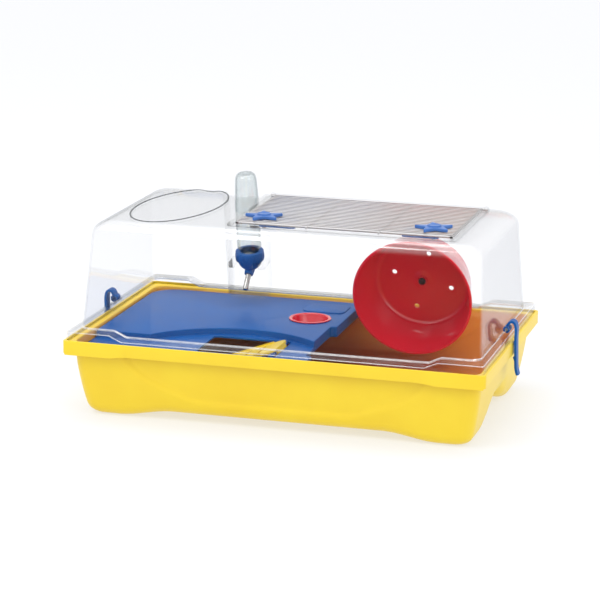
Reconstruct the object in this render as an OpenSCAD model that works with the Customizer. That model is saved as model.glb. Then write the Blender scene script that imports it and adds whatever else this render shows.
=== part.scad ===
// Hamster cage: a deep plastic tray, a clear domed cover with a wire roof door,
// an inner platform with a ramp and a bowl, an exercise wheel and a drinking bottle.
// Origin on the ground under the middle of the tray, X along the length, Y to the back.

/* [Cage] */
// Overall length over the tray rim
cage_l = 580; // [500:5:700]
// Overall width over the tray rim
cage_w = 370; // [310:5:450]
// Height of the tray's rim lip
tray_h = 106.5; // [90:0.5:130]
// Height of the clear cover's roof
roof_h = 262; // [220:1:320]
// Corner radius of the rim
rim_r = 6; // [4:1:30]

/* [Tray] */
// Wall thickness of the tray
tray_wall = 2.5; // [2:0.1:4]
// Width of the rim from the lip's outer face to the tray wall
rim_w = 10; // [8:0.5:14]
// Depth of the rim's hanging skirt
skirt_d = 17.5; // [12:0.5:24]
// Height of the lip above the ledge that carries the cover
lip_h = 3; // [2:0.5:6]
// Width of the lip
lip_w = 3.5; // [2.5:0.5:5]
// Foot inset from the rim along the length
foot_in_x = 30; // [22:1:40]
// Foot inset from the rim across the width
foot_in_y = 32; // [24:1:60]
// Plan radius of the tray's corners
tray_r = 16; // [12:1:60]
// Height of the arch between the feet
arch_h = 9; // [4:0.5:14]
// Height of the hand hold at each end
grip_h = 27; // [18:1:40]

/* [Cover] */
// Wall thickness of the clear cover
dome_wall = 2; // [1.6:0.1:3]
// Inset of the cover's end walls at the flange
dome_in_x = 14; // [12:0.5:20]
// Inset of the cover's front and back walls at the flange
dome_in_y = 28; // [22:0.5:36]
// How far the end walls lean in by the roof
lean_x = 8; // [4:1:24]
// How far the front and back walls lean in by the roof
lean_y = 28; // [10:1:40]
// Plan radius of the cover's corners
dome_r = 16; // [12:1:60]
// Height of the flange along the front and back
flange_h = 6.5; // [4:0.5:10]
// Height of the raised flange at the ends and corners
lug_h = 14.5; // [10:0.5:20]
// Length of the raised flange along the front and back
lug_l = 65; // [40:1:90]

/* [Roof door] */
// Distance from the left end of the cage to the wire door
door_from_left = 214; // [190:1:240]
// Distance from the right end of the cage to the wire door
door_from_right = 68; // [60:1:90]
// Diameter of the door's frame rod
rod_d = 3.6; // [3:0.1:5]
// Diameter of the wires
wire_d = 1.8; // [1.2:0.1:2.4]
// Distance between wires
wire_pitch = 9; // [8.5:0.5:12]
// Distance across a star knob
star_d = 58; // [40:1:70]

/* [Clips] */
// Width of a side clip
clip_w = 15; // [10:1:24]
// Thickness of a side clip
clip_t = 3.4; // [2.5:0.1:4.5]
// Length of a clip below its bar
clip_l = 64; // [56:1:80]
// Diameter of the bar that a clip hooks on
bar_d = 5; // [4:0.5:6]

/* [Wheel] */
// Diameter of the wheel over its rim
wheel_d = 171; // [120:1:180]
// Depth of the wheel
wheel_depth = 70; // [40:1:80]
// Distance from the right end of the cage to the wheel's axle
wheel_from_right = 159; // [150:1:200]
// Height of the axle above the tray's ledge
wheel_up = 48; // [30:1:60]
// Diameter of the axle
axle_d = 6; // [5:0.5:8]

/* [Bottle] */
// Distance from the left end of the cage to the bottle
bottle_from_left = 165; // [150:1:190]
// Height of the bottle above its cap's lower edge
bottle_l = 149; // [120:1:170]
// Diameter of the bottle's cap
cap_d = 41; // [36:0.5:46]
// Width of the recess that the bottle stands in
niche_w = 56; // [50:1:70]
// Depth of the recess
niche_d = 32; // [28:1:40]
// Diameter of the drinking ball
ball_d = 6.4; // [5:0.1:7]

/* [Platform] */
// Thickness of the platform's plate
shelf_t = 2.5; // [2:0.1:4]
// Drop from the tray's ledge to the platform's main level
shelf_down = 3.5; // [2:0.5:10]
// Step from the main level down to the front terrace
terrace_step = 9; // [5:0.5:12]
// Diameter of the food bowl over its rim
bowl_d = 60; // [45:1:70]
// Depth of the food bowl
bowl_depth = 22; // [12:1:40]
// Width of the ramp
ramp_w = 66; // [50:1:70]

/* [Fits] */
// Radial clearance of a shaft in its bore
run_fit = 0.05; // [0.02:0.01:0.1]
// Clearance between pieces that lift off each other
loose_fit = 0.3; // [0.2:0.05:0.6]

/* [Hidden] */
$fn = 48;

half_l = cage_l / 2;
half_w = cage_w / 2;
ledge_z = tray_h - lip_h;
foot_r = 10;
foot_curve = 2.2;
pad_h = 0.6;
foot_l = 92;
foot_w = 68;
grip_w = 110;
grip_in = 14;

// cover
flange_in = lip_w + loose_fit;
lean_z = ledge_z + 8.5;
roof_round_x = 26;
roof_round_y = 14;
roof_round_z = 18;
wall_tilt = atan(lean_y / (roof_h - lean_z));
lug_ramp = 17;

// roof door
door_x0 = -half_l + door_from_left;
door_x1 = half_l - door_from_right;
door_y0 = -half_w + dome_in_y + lean_y + 31;
door_y1 = half_w - dome_in_y - lean_y - 25;
rod_r = rod_d / 2;
rod_z = roof_h + rod_r;
door_seat = 5;
door_gap = 1.5;
bezel_w = 7;
bezel_h = 3;
hinge_run = 7;
crossbar_d = 3;
weld = 0.2;
wire_z = rod_z + crossbar_d / 2 + wire_d / 2 - weld;

// latches
latch_in_x = 31.5;
latch_in_y = 36;
latch_y = door_y0 + latch_in_y;
latch_xs = [door_x0 + latch_in_x, door_x1 - latch_in_x];
post_r = 3;
star_t = 4.5;
tongue_t = 3;
tongue_l = 44;
tongue_w = 12;
bush_top = wire_z - wire_d / 2;
bush_bottom = roof_h - dome_wall - 1.4;
tongue_top = bush_bottom - loose_fit;
star_z = wire_z + wire_d / 2 + 0.5;
screw_r = 1.2;
screw_l = 8;

// clips
bar_x = half_l - 9;
bar_z = ledge_z + lug_h + 6;
hook_t = 2.4;
ear_t = 3.5;
ear_gap = 1;
clip_gap = 2.6;
barb_z = tray_h - skirt_d - 2.5;

// wheel, in a frame at the wall's outer face with Z into the cage
wheel_x = half_l - wheel_from_right;
wheel_z = ledge_z + wheel_up;
wheel_r = wheel_d / 2;
wheel_back = 10;
wheel_wall = 2.4;
wheel_disc_r = wheel_r - 14;
wheel_bend = 9;
hub_r = 12;
hub_l = 9;
vent_r = 3.5;
vent_at = 42;
vent_turn = -13;

// bottle, in a frame on its own axis with Z up the wall
bottle_x = -half_l + bottle_from_left;
bottle_z = ledge_z + 43.5;
bottle_off = 10.5;
cap_h = 30;
cap_step = 16;
cap_rib_h = cap_h - cap_step - 6;
neck_r = 13.5;
spout_a = 52;
spout_l = 38;
spout_r = 4;
niche_floor = 2;
cap_ledge_x = cap_d / 2 - 2.5;
cap_ledge_w = niche_w / 2 + 0.5 - cap_ledge_x;
slot_w = 20;
slot_low = 10;

// platform
shelf_z = ledge_z - shelf_down;
shelf_skirt = 15;
shelf_x0 = -half_l + rim_w + tray_wall + 1.8;
shelf_x1 = wheel_x - wheel_r - 9.5;
shelf_hw = half_w - rim_w - tray_wall - 4.5;
shelf_r = max(38, tray_r - tray_wall - 2.5);
shelf_low = shelf_z - shelf_skirt;
terrace_z = shelf_z - terrace_step;
terrace_y = -shelf_hw + 76;
terrace_r = 150;
hatch_x1 = shelf_x1 - 46;
hatch_x0 = hatch_x1 - 111;
hatch_y0 = -shelf_hw + 43;
hatch_y1 = hatch_y0 + 85;
bowl_x = shelf_x1 - 48;
bowl_y = shelf_hw - 109.5;
bowl_lip = 3;

// ramp
ramp_bar_r = 3;
ramp_x = hatch_x1 - 7;
ramp_z = terrace_z - 1;
ramp_t = 3;
ramp_y = (hatch_y0 + hatch_y1) / 2;
floor_z = pad_h + arch_h + tray_wall;
ramp_foot_x = -half_l + 56;
ramp_crest = 6.5;
ramp_fall = ramp_z - floor_z - loose_fit;
ramp_reach = ramp_x - ramp_foot_x;
ramp_a = atan(ramp_fall / ramp_reach) + asin((ramp_crest - ramp_t) / norm([ramp_fall, ramp_reach]));
ramp_run = ramp_reach * cos(ramp_a) + ramp_fall * sin(ramp_a);
ramp_slots = 9;

// A rectangle with round corners, centred
module round_rect(l, w, r) {
    square([l - 2 * r, w], center = true);
    square([l, w - 2 * r], center = true);
    for (sx = [-1, 1], sy = [-1, 1])
        translate([sx * (l / 2 - r), sy * (w / 2 - r)]) circle(r);
}

// The rim's outline, inset by a distance
module rim_outline(inset) {
    round_rect(cage_l - 2 * inset, cage_w - 2 * inset, max(rim_r - inset / 2, 4));
}

// A flat slice of a hulled shell
module slice(z, in_x, in_y, r) {
    translate([0, 0, z])
        linear_extrude(0.05)
            round_rect(cage_l - 2 * in_x, cage_w - 2 * in_y, r, $fn = 32);
}

// Insets of the tray wall at a share of its height
function tray_in_x(u) = rim_w + (foot_in_x - rim_w) * pow(1 - u, foot_curve);
function tray_in_y(u) = rim_w + (foot_in_y - rim_w) * pow(1 - u, foot_curve);

// The tray's boat-shaped body, shrunk by t on every side
module tray_form(t, top) {
    hull() {
        for (a = [0 : 30 : 90]) {
            z = foot_r * (1 - cos(a));
            side = foot_r * (1 - sin(a)) + t;
            u = z / top;
            slice(pad_h + z + t, tray_in_x(u) + side, tray_in_y(u) + side, tray_r - t);
        }
        for (k = [1 : 4]) {
            z = foot_r + (top - foot_r) * k / 4;
            u = z / top;
            slice(z, tray_in_x(u) + t, tray_in_y(u) + t, tray_r - t);
        }
    }
}

// Hollows in the underside, grown by t: a cross between the feet and two hand holds
module tray_hollows(t) {
    mid_l = half_l - foot_l;
    mid_w = half_w - foot_w - foot_in_y / 2;
    z = pad_h + arch_h + t;
    rotate([90, 0, 0])
        linear_extrude(cage_w, center = true)
            polygon([[-mid_l - t, -1], [mid_l + t, -1], [mid_l - 14 + t, z], [14 - mid_l - t, z]]);
    rotate([90, 0, 90])
        linear_extrude(cage_l, center = true)
            polygon([[-mid_w - t, -1], [mid_w + t, -1], [mid_w - 12 + t, z], [12 - mid_w - t, z]]);
    arc_r = (grip_w * grip_w / 4 + grip_h * grip_h) / (2 * grip_h);
    for (s = [-1, 1])
        translate([s * (half_l - foot_in_x + 5), 0, grip_h - arc_r])
            rotate([0, 90, 0])
                cylinder(r = arc_r + t, h = 2 * grip_in + 2 * t, center = true, $fn = 96);
}

// Lugs inside the tray wall that carry the platform
module shelf_lugs() {
    for (x = [shelf_x0 + 70, shelf_x1 - 40], s = [-1, 1])
        translate([x, s * (half_w - rim_w - 14), shelf_low - 6]) cube([26, 28, 12], center = true);
    for (s = [-1, 1])
        translate([shelf_x0, s * 62, shelf_low - 6]) cube([24, 26, 12], center = true);
}

module base_tray() {
    color("gold") {
        difference() {
            difference() {
                tray_form(0, ledge_z);
                tray_hollows(0);
            }
            difference() {
                tray_form(tray_wall, ledge_z + 1);
                tray_hollows(tray_wall);
            }
        }
        intersection() {
            tray_form(1, ledge_z);
            shelf_lugs();
        }
        for (sx = [-1, 1], sy = [-1, 1])
            translate([sx * (half_l - foot_in_x - 38), sy * (half_w - foot_in_y - 30), 0])
                cylinder(r = 13, h = pad_h + 2);
        // ledge, lip and hanging skirt
        translate([0, 0, ledge_z - 2])
            linear_extrude(2)
                difference() {
                    rim_outline(0);
                    round_rect(cage_l - 2 * rim_w - 2, cage_w - 2 * rim_w - 2, tray_r - 1);
                }
        translate([0, 0, ledge_z - 1])
            linear_extrude(lip_h + 1)
                difference() {
                    rim_outline(0);
                    rim_outline(lip_w);
                }
        translate([0, 0, tray_h - skirt_d])
            linear_extrude(skirt_d - 1)
                difference() {
                    rim_outline(0);
                    rim_outline(2);
                }
        corner_l = lug_l + lug_ramp;
        translate([0, 0, tray_h - skirt_d - 2])
            linear_extrude(3)
                difference() {
                    rim_outline(0);
                    rim_outline(2);
                    square([cage_l - 2 * corner_l, cage_w + 2], center = true);
                    square([cage_l + 2, 80], center = true);
                }
    }
}

// Insets of the cover's walls at a height
function dome_ix(z) = dome_in_x + lean_x * (z - lean_z) / (roof_h - lean_z);
function dome_iy(z) = dome_in_y + lean_y * (z - lean_z) / (roof_h - lean_z);

// The cover's body, shrunk by t, from a height up to the roof
module dome_form(t, z0) {
    side_top = roof_h - roof_round_z;
    hull() {
        slice(z0, dome_ix(z0) + t, dome_iy(z0) + t, dome_r - t);
        slice(side_top, dome_ix(side_top) + t, dome_iy(side_top) + t, dome_r - t);
        for (a = [22.5 : 22.5 : 90]) {
            z = side_top + (roof_round_z - t - 0.05) * sin(a);
            in_x = dome_ix(z) + t + roof_round_x * (1 - cos(a));
            in_y = dome_iy(z) + t + roof_round_y * (1 - cos(a));
            slice(z, in_x, in_y, dome_r - t);
        }
    }
}

// The flange: low along the front and back, raised at the ends and corners
module flange_form(t, z0) {
    mid_l = half_l - lug_l;
    translate([0, 0, z0])
        linear_extrude(ledge_z + flange_h - t - z0) rim_outline(flange_in + t);
    difference() {
        translate([0, 0, z0])
            linear_extrude(ledge_z + lug_h - t - z0) rim_outline(flange_in + t);
        rotate([90, 0, 0])
            linear_extrude(cage_w + 2, center = true)
                polygon([
                    [-mid_l + lug_ramp - t, z0 - 1], [mid_l - lug_ramp + t, z0 - 1],
                    [mid_l - lug_ramp + t, ledge_z + flange_h - 1],
                    [mid_l + t, ledge_z + lug_h + 1],
                    [-mid_l - t, ledge_z + lug_h + 1],
                    [-mid_l + lug_ramp - t, ledge_z + flange_h - 1]
                ]);
    }
}

// Places children on the back wall's outer face, with Z up the wall and Y outward
module on_wall(x, z) {
    translate([x, half_w - dome_iy(z), z]) rotate([wall_tilt, 0, 0]) children();
}

module on_axle() {
    on_wall(wheel_x, wheel_z) rotate([90, 0, 0]) children();
}

module on_bottle() {
    on_wall(bottle_x, bottle_z) translate([0, -bottle_off, 0]) children();
}

// The recess for the bottle, grown by t
module niche(t) {
    h = roof_h;
    on_wall(bottle_x, lean_z + niche_floor)
        translate([-niche_w / 2 - t, -niche_d - t, -t]) cube([niche_w + 2 * t, niche_d + t + 60, h]);
}

// A plain raised oval on the roof
module roof_oval(grow) {
    oval_x = -half_l + 104;
    translate([oval_x, 4])
        rotate(-4)
            polygon([for (a = [0 : 7.5 : 352.5]) [(56 + grow) * cos(a), (120 + grow) * sin(a)]]);
}

module door_outline(grow) {
    translate([door_x0 - grow, door_y0 - grow])
        square([door_x1 - door_x0 + 2 * grow, door_y1 - door_y0 + 2 * grow]);
}

module dome_cover() {
    rod_y = door_y1 - rod_r;
    color("white", 0.35) {
        difference() {
            union() {
                dome_form(0, ledge_z);
                flange_form(0, ledge_z);
                intersection() {
                    dome_form(-0.8, ledge_z);
                    translate([0, 0, roof_h - 40])
                        linear_extrude(60)
                            difference() {
                                roof_oval(0);
                                roof_oval(-2);
                            }
                }
                translate([0, 0, roof_h - 1])
                    linear_extrude(bezel_h + 1)
                        difference() {
                            door_outline(door_gap + bezel_w);
                            door_outline(door_gap);
                        }
                for (x = [door_x0 - hinge_run / 2 - 1, door_x1 + hinge_run / 2 + 1])
                    translate([x, rod_y, roof_h + rod_d / 2 + 0.6])
                        cube([hinge_run - 2, 9, rod_d + 3.2], center = true);
            }
            difference() {
                union() {
                    dome_form(dome_wall, ledge_z - 1);
                    flange_form(dome_wall, ledge_z - 1);
                }
                niche(dome_wall);
            }
            niche(0);
            // slot for the spout, open at the top
            on_bottle()
                translate([-slot_w / 2, bottle_off - niche_d - dome_wall - 1, -slot_low - spout_l / 4 - 2])
                    cube([slot_w, dome_wall + 2, roof_h]);
            translate([0, 0, roof_h - 10]) linear_extrude(40) door_outline(-door_seat);
            translate([(door_x0 + door_x1) / 2, rod_y, rod_z])
                rotate([0, 90, 0])
                    cylinder(r = rod_r + run_fit, h = door_x1 - door_x0 + 2 * hinge_run + 4, center = true);
            on_axle() translate([0, 0, -1]) cylinder(d = axle_d, h = dome_wall + 2);
        }
        // ledges in the recess that carry the bottle's cap
        for (s = [-1, 1])
            on_bottle()
                translate([s * (cap_ledge_x + cap_ledge_w / 2), bottle_off - niche_d / 2 - 0.5, 0])
                    translate([0, 0, cap_step - 3]) cube([cap_ledge_w, niche_d, 6], center = true);
        // ears and bar for each clip
        for (s = [-1, 1]) {
            for (e = [-1, 1])
                translate([s * bar_x, e * (clip_w / 2 + ear_gap + ear_t / 2), ledge_z + lug_h - 1])
                    rotate([90, 0, 0])
                        linear_extrude(ear_t, center = true) {
                            translate([-5, 0]) square([10, 7]);
                            translate([0, 7]) circle(5);
                        }
            translate([s * bar_x, 0, bar_z])
                rotate([90, 0, 0]) cylinder(d = bar_d, h = clip_w + 2 * ear_gap + 2, center = true);
        }
        // small rib at the middle of the flange, front and back
        for (s = [-1, 1])
            translate([0, s * (half_w - flange_in - 3), ledge_z + flange_h]) cube([2, 5, 3], center = true);
    }
}

// A rod between two points on the door's plane
module rod(p, q, d) {
    v = q - p;
    translate(p)
        rotate([0, 0, atan2(v.y, v.x)])
            rotate([0, 90, 0]) cylinder(d = d, h = norm(v));
}

module grille_frame() {
    x0 = door_x0 + rod_r;
    x1 = door_x1 - rod_r;
    y0 = door_y0 + rod_r;
    y1 = door_y1 - rod_r;
    color("darkgray") {
        rod([x0, y0, rod_z], [x1, y0, rod_z], rod_d);
        rod([x0, y0, rod_z], [x0, y1, rod_z], rod_d);
        rod([x1, y0, rod_z], [x1, y1, rod_z], rod_d);
        rod([door_x0 - hinge_run, y1, rod_z], [door_x1 + hinge_run, y1, rod_z], rod_d);
        for (x = [x0, x1]) translate([x, y0, rod_z]) sphere(d = rod_d);
    }
}

module grille_crossbars() {
    color("darkgray")
        for (k = [1, 2]) {
            x = door_x0 + (door_x1 - door_x0) * k / 3;
            rod([x, door_y0 + rod_d - weld, rod_z], [x, door_y1 - rod_d + weld, rod_z], crossbar_d);
        }
}

module grille_wires() {
    first = latch_y + wire_pitch / 2;
    below = floor((first - door_y0 - rod_d - wire_pitch / 2) / wire_pitch);
    above = floor((door_y1 - rod_d - wire_d - first) / wire_pitch);
    color("silver")
        for (k = [-below : above]) {
            y = first + k * wire_pitch;
            rod([door_x0 + 0.6, y, wire_z], [door_x1 - 0.6, y, wire_z], wire_d);
        }
}

// A flat five-pointed star with rounded tips
module star(d) {
    tip_r = 4;
    reach = d / 2 - tip_r;
    root = d * 0.21;
    polygon([
        for (k = [0 : 4]) each concat(
            [for (a = [-70 : 20 : 70]) [
                reach * cos(90 + 72 * k) + tip_r * cos(90 + 72 * k + a),
                reach * sin(90 + 72 * k) + tip_r * sin(90 + 72 * k + a)
            ]],
            [[root * cos(126 + 72 * k), root * sin(126 + 72 * k)]]
        )
    ]);
}

module star_knob(side) {
    translate([latch_xs[side], latch_y, 0])
        color("cornflowerblue") {
            translate([0, 0, star_z]) linear_extrude(star_t) star(star_d);
            translate([0, 0, star_z + star_t - 1]) cylinder(d1 = 20, d2 = 17, h = 3);
            difference() {
                translate([0, 0, tongue_top - tongue_t])
                    cylinder(r = post_r, h = star_z - tongue_top + tongue_t + 1);
                translate([0, 0, tongue_top - tongue_t - 1]) cylinder(r = screw_r, h = screw_l + 1);
            }
        }
}

module latch_tongue(side) {
    translate([latch_xs[side], latch_y, tongue_top - tongue_t])
        rotate(180 * side)
            color("royalblue")
                linear_extrude(tongue_t)
                    difference() {
                        union() {
                            circle(tongue_w / 2 + 1);
                            translate([0, -tongue_w / 2]) square([tongue_l - tongue_w / 2, tongue_w]);
                            translate([tongue_l - tongue_w / 2, 0]) circle(tongue_w / 2);
                        }
                        circle(post_r);
                    }
}

module latch_bush(side) {
    translate([latch_xs[side], latch_y, 0])
        color("gray")
            difference() {
                union() {
                    translate([0, 0, bush_top - 0.75]) cube([28, 16, 1.5], center = true);
                    translate([0, 0, bush_bottom]) cylinder(r = 6, h = bush_top - bush_bottom - 1);
                }
                translate([0, 0, bush_bottom - 1]) cylinder(r = post_r + run_fit, h = 20);
            }
}

module latch_screw(side) {
    translate([latch_xs[side], latch_y, tongue_top - tongue_t])
        color("silver") {
            difference() {
                translate([0, 0, -2]) cylinder(r1 = 3, r2 = 3.6, h = 2);
                translate([0, 0, -2.5]) cube([0.9, 4, 2.2], center = true);
                translate([0, 0, -2.5]) cube([4, 0.9, 2.2], center = true);
            }
            cylinder(r = screw_r, h = screw_l - 0.5);
        }
}

// A slab as wide as the clip, standing in the X-Z plane
module clip_slab() {
    rotate([90, 0, 0]) linear_extrude(clip_w, center = true) children();
}

// Points on one side of a line of points, at a distance from it
function beside(line, d) = [
    for (i = [0 : len(line) - 1])
        let (v = line[min(i + 1, len(line) - 1)] - line[max(i - 1, 0)])
            line[i] + d * [-v.y, v.x] / norm(v)
];

// Side clip for the right end: a strip that arches up from its hook and hangs down
module clip_shape() {
    hook_r = bar_d / 2 + hook_t;
    leg_x = half_l + clip_gap + clip_t / 2 - bar_x;
    catch_x = leg_x - clip_t / 2;
    catch_z = barb_z - bar_z;
    line = [
        [0.5, 3.5], [1.5, 7], [3.8, 10.2], [7, 11.4], [10, 10], [12, 6.5], [leg_x - 0.3, 0],
        [leg_x - 0.8, -10], [leg_x - 0.6, -22], [leg_x, catch_z], [leg_x + 0.3, 12 - clip_l],
        [leg_x + 1.8, 5 - clip_l], [leg_x + 3.6, -clip_l]
    ];
    left = beside(line, clip_t / 2);
    right = beside(line, -clip_t / 2);
    difference() {
        union() {
            rotate([90, 0, 0]) cylinder(r = hook_r, h = clip_w, center = true);
            clip_slab() polygon(concat(left, [for (i = [len(right) - 1 : -1 : 0]) right[i]]));
            // catch that snaps under the tray's skirt
            clip_slab()
                polygon([
                    [catch_x + 1, catch_z + 0.9], [catch_x - 2.2, catch_z], [catch_x + 0.6, catch_z - 7],
                    [catch_x + 1, catch_z - 7]
                ]);
        }
        rotate([90, 0, 0]) cylinder(d = bar_d + 2 * run_fit, h = clip_w + 2, center = true);
        // mouth that snaps over the bar
        rotate([90, 0, 0])
            linear_extrude(clip_w + 2, center = true) polygon([[0, 0], [-12, -5], [-12, -12], [-1, -12]]);
    }
}

module clip(side) {
    mirror([1 - side, 0, 0])
        translate([bar_x, 0, bar_z]) color("royalblue") clip_shape();
}

module wheel_dish() {
    back = wheel_back;
    front = wheel_back + wheel_depth;
    slope = atan((wheel_r - 2 - wheel_disc_r) / (wheel_depth - 3));
    bend_x = wheel_disc_r - wheel_bend;
    color("firebrick")
        on_axle()
            difference() {
                union() {
                    rotate_extrude($fn = 120)
                        polygon(concat(
                            [[axle_d / 2 + run_fit, back]],
                            [for (a = [-90 : 15 : -slope]) [
                                bend_x + wheel_bend * cos(a), back + wheel_bend + wheel_bend * sin(a)
                            ]],
                            [[wheel_r - 2, front - 3], [wheel_r, front - 2], [wheel_r, front],
                             [wheel_r - wheel_wall - 2, front]],
                            [for (a = [-slope : -15 : -90]) [
                                bend_x + (wheel_bend - wheel_wall) * cos(a),
                                back + wheel_bend + (wheel_bend - wheel_wall) * sin(a)
                            ]],
                            [[axle_d / 2 + run_fit, back + wheel_wall]]
                        ));
                    translate([0, 0, back - 3])
                        difference() {
                            cylinder(r = hub_r - 5, h = hub_l);
                            translate([0, 0, -1]) cylinder(r = axle_d / 2 + run_fit, h = hub_l + 2);
                        }
                    translate([0, 0, back])
                        difference() {
                            cylinder(r1 = hub_r + 4, r2 = hub_r - 4, h = wheel_wall + 1.5);
                            translate([0, 0, -1]) cylinder(r = axle_d / 2 + run_fit, h = hub_l);
                        }
                }
                for (k = [0 : 3])
                    rotate(vent_turn + 90 * k)
                        translate([vent_at, 0, back - 1]) cylinder(r = vent_r, h = wheel_wall + 2);
            }
}

module wheel_axle() {
    color("dimgray")
        on_axle() {
            translate([0, 0, -6]) cylinder(d = axle_d, h = wheel_back + hub_l + 3);
            translate([0, 0, dome_wall]) cylinder(d = 24, h = 3);
            translate([0, 0, dome_wall + 3])
                cylinder(d1 = 20, d2 = 14, h = wheel_back - 3 - dome_wall - 3 - loose_fit);
        }
}

module axle_nut() {
    color("dimgray")
        on_axle()
            translate([0, 0, -5.1])
                difference() {
                    cylinder(r = 8, h = 5, $fn = 6);
                    translate([0, 0, -1]) cylinder(d = axle_d, h = 7);
                }
}

module axle_cap() {
    base = wheel_back - 3 + hub_l + loose_fit;
    color("black")
        on_axle()
            translate([0, 0, base])
                difference() {
                    union() {
                        cylinder(r = hub_r - 7, h = 3);
                        translate([0, 0, 3]) cylinder(r1 = hub_r - 7, r2 = hub_r - 9, h = 1.5);
                    }
                    translate([0, 0, -1]) cylinder(d = axle_d, h = wheel_back + hub_l - 3 - base + 1);
                }
}

module bottle_body() {
    r0 = cap_d / 2 - 3;
    r1 = 14.5;
    wall = 1.2;
    top = bottle_l;
    neck_z = cap_step + 4 + 2;
    color("white", 0.4)
        on_bottle()
            rotate_extrude($fn = 64)
                polygon([
                    [neck_r - 2, neck_z], [neck_r, neck_z], [neck_r, cap_h + 1], [r0, cap_h + 6],
                    [r0, top - 50], [r1 + 1, top - 14], [r1, top - 8], [r1 - 3, top - 2], [r1 - 7, top],
                    [0, top], [0, top - wall], [r1 - 7 - wall / 2, top - wall],
                    [r1 - 3 - wall, top - 2 - wall], [r1 - wall, top - 8 - wall / 2],
                    [r1 + 1 - wall, top - 14 - wall / 2], [r0 - wall, top - 50 - wall / 2],
                    [r0 - wall, cap_h + 6.5], [neck_r - 2, cap_h + 2]
                ]);
}

module bottle_cap() {
    r = cap_d / 2;
    dome_cap_r = r - 3.5;
    color("royalblue")
        on_bottle()
            difference() {
                union() {
                    rotate_extrude($fn = 64)
                        polygon(concat(
                            [[0, 0]],
                            [for (a = [-75 : 15 : 0]) [
                                dome_cap_r * cos(a), cap_step + cap_step * sin(a)
                            ]],
                            [[r, cap_step], [r, cap_h - 1.5], [r - 1.5, cap_h], [0, cap_h]]
                        ));
                    translate([0, 0, 4])
                        rotate([180 - spout_a, 0, 0]) cylinder(r1 = 8, r2 = 6.2, h = 13);
                    for (k = [0 : 23])
                        rotate(15 * k)
                            translate([r - 0.2, 0, cap_step + 2]) cylinder(r = 0.7, h = cap_rib_h);
                }
                translate([0, 0, cap_step + 4]) cylinder(r = neck_r, h = cap_h);
                translate([0, 0, 4])
                    rotate([180 - spout_a, 0, 0]) translate([0, 0, 2]) cylinder(r = spout_r, h = 20);
                translate([0, 0, 4]) cylinder(r = 2.5, h = cap_step + 2);
            }
}

module bottle_seal() {
    color("white")
        on_bottle()
            translate([0, 0, cap_step + 4])
                difference() {
                    cylinder(r = neck_r - 0.1, h = 2);
                    translate([0, 0, -1]) cylinder(r = 5, h = 4);
                }
}

module spout_tube() {
    bore_r = ball_d / 2 + 0.1;
    mouth_r = ball_d / 2 - 0.5;
    color("silver")
        on_bottle()
            translate([0, 0, 4])
                rotate([180 - spout_a, 0, 0])
                    difference() {
                        translate([0, 0, 2]) cylinder(r = spout_r, h = spout_l - 2);
                        translate([0, 0, 1]) cylinder(r = spout_r - 1.4, h = spout_l);
                        translate([0, 0, spout_l - 12]) cylinder(r = bore_r, h = 11);
                        translate([0, 0, spout_l - 2]) cylinder(r = mouth_r, h = 4);
                    }
}

module spout_ball() {
    mouth_r = ball_d / 2 - 0.5;
    seat = sqrt(ball_d * ball_d / 4 - mouth_r * mouth_r);
    color("white")
        on_bottle()
            translate([0, 0, 4])
                rotate([180 - spout_a, 0, 0])
                    translate([0, 0, spout_l - 1 - seat - 0.05]) sphere(d = ball_d);
}

// The platform's outline, shrunk by t
module shelf_outline(t) {
    l = shelf_x1 - shelf_x0 - 2 * t;
    w = 2 * shelf_hw - 2 * t;
    translate([(shelf_x0 + shelf_x1) / 2, 0]) {
        square([l - 2 * (shelf_r - t), w], center = true);
        translate([shelf_r / 2, 0]) square([l - shelf_r + t, w - 16], center = true);
        square([l, w - 2 * (shelf_r - t)], center = true);
        for (s = [-1, 1])
            translate([-l / 2 + shelf_r - t, s * (w / 2 - shelf_r + t)]) circle(shelf_r - t);
        for (s = [-1, 1])
            translate([l / 2 - 8, s * (w / 2 - 8)]) circle(8);
        translate([shelf_r / 2, 0]) square([l - shelf_r - 16, w], center = true);
    }
}

// The low front terrace, with an arc that bulges to the back behind the hatch
module terrace(t) {
    arc_x = (hatch_x0 + hatch_x1) / 2 - 6;
    translate([shelf_x0 - 1, -shelf_hw - 1]) square([shelf_x1 - shelf_x0 + 2, terrace_y + shelf_hw + 1 + t]);
    translate([arc_x, hatch_y1 + 16 - terrace_r]) circle(terrace_r + t, $fn = 160);
}

module shelf_plan(z, t) {
    translate([0, 0, z]) linear_extrude(t) children();
}

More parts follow.
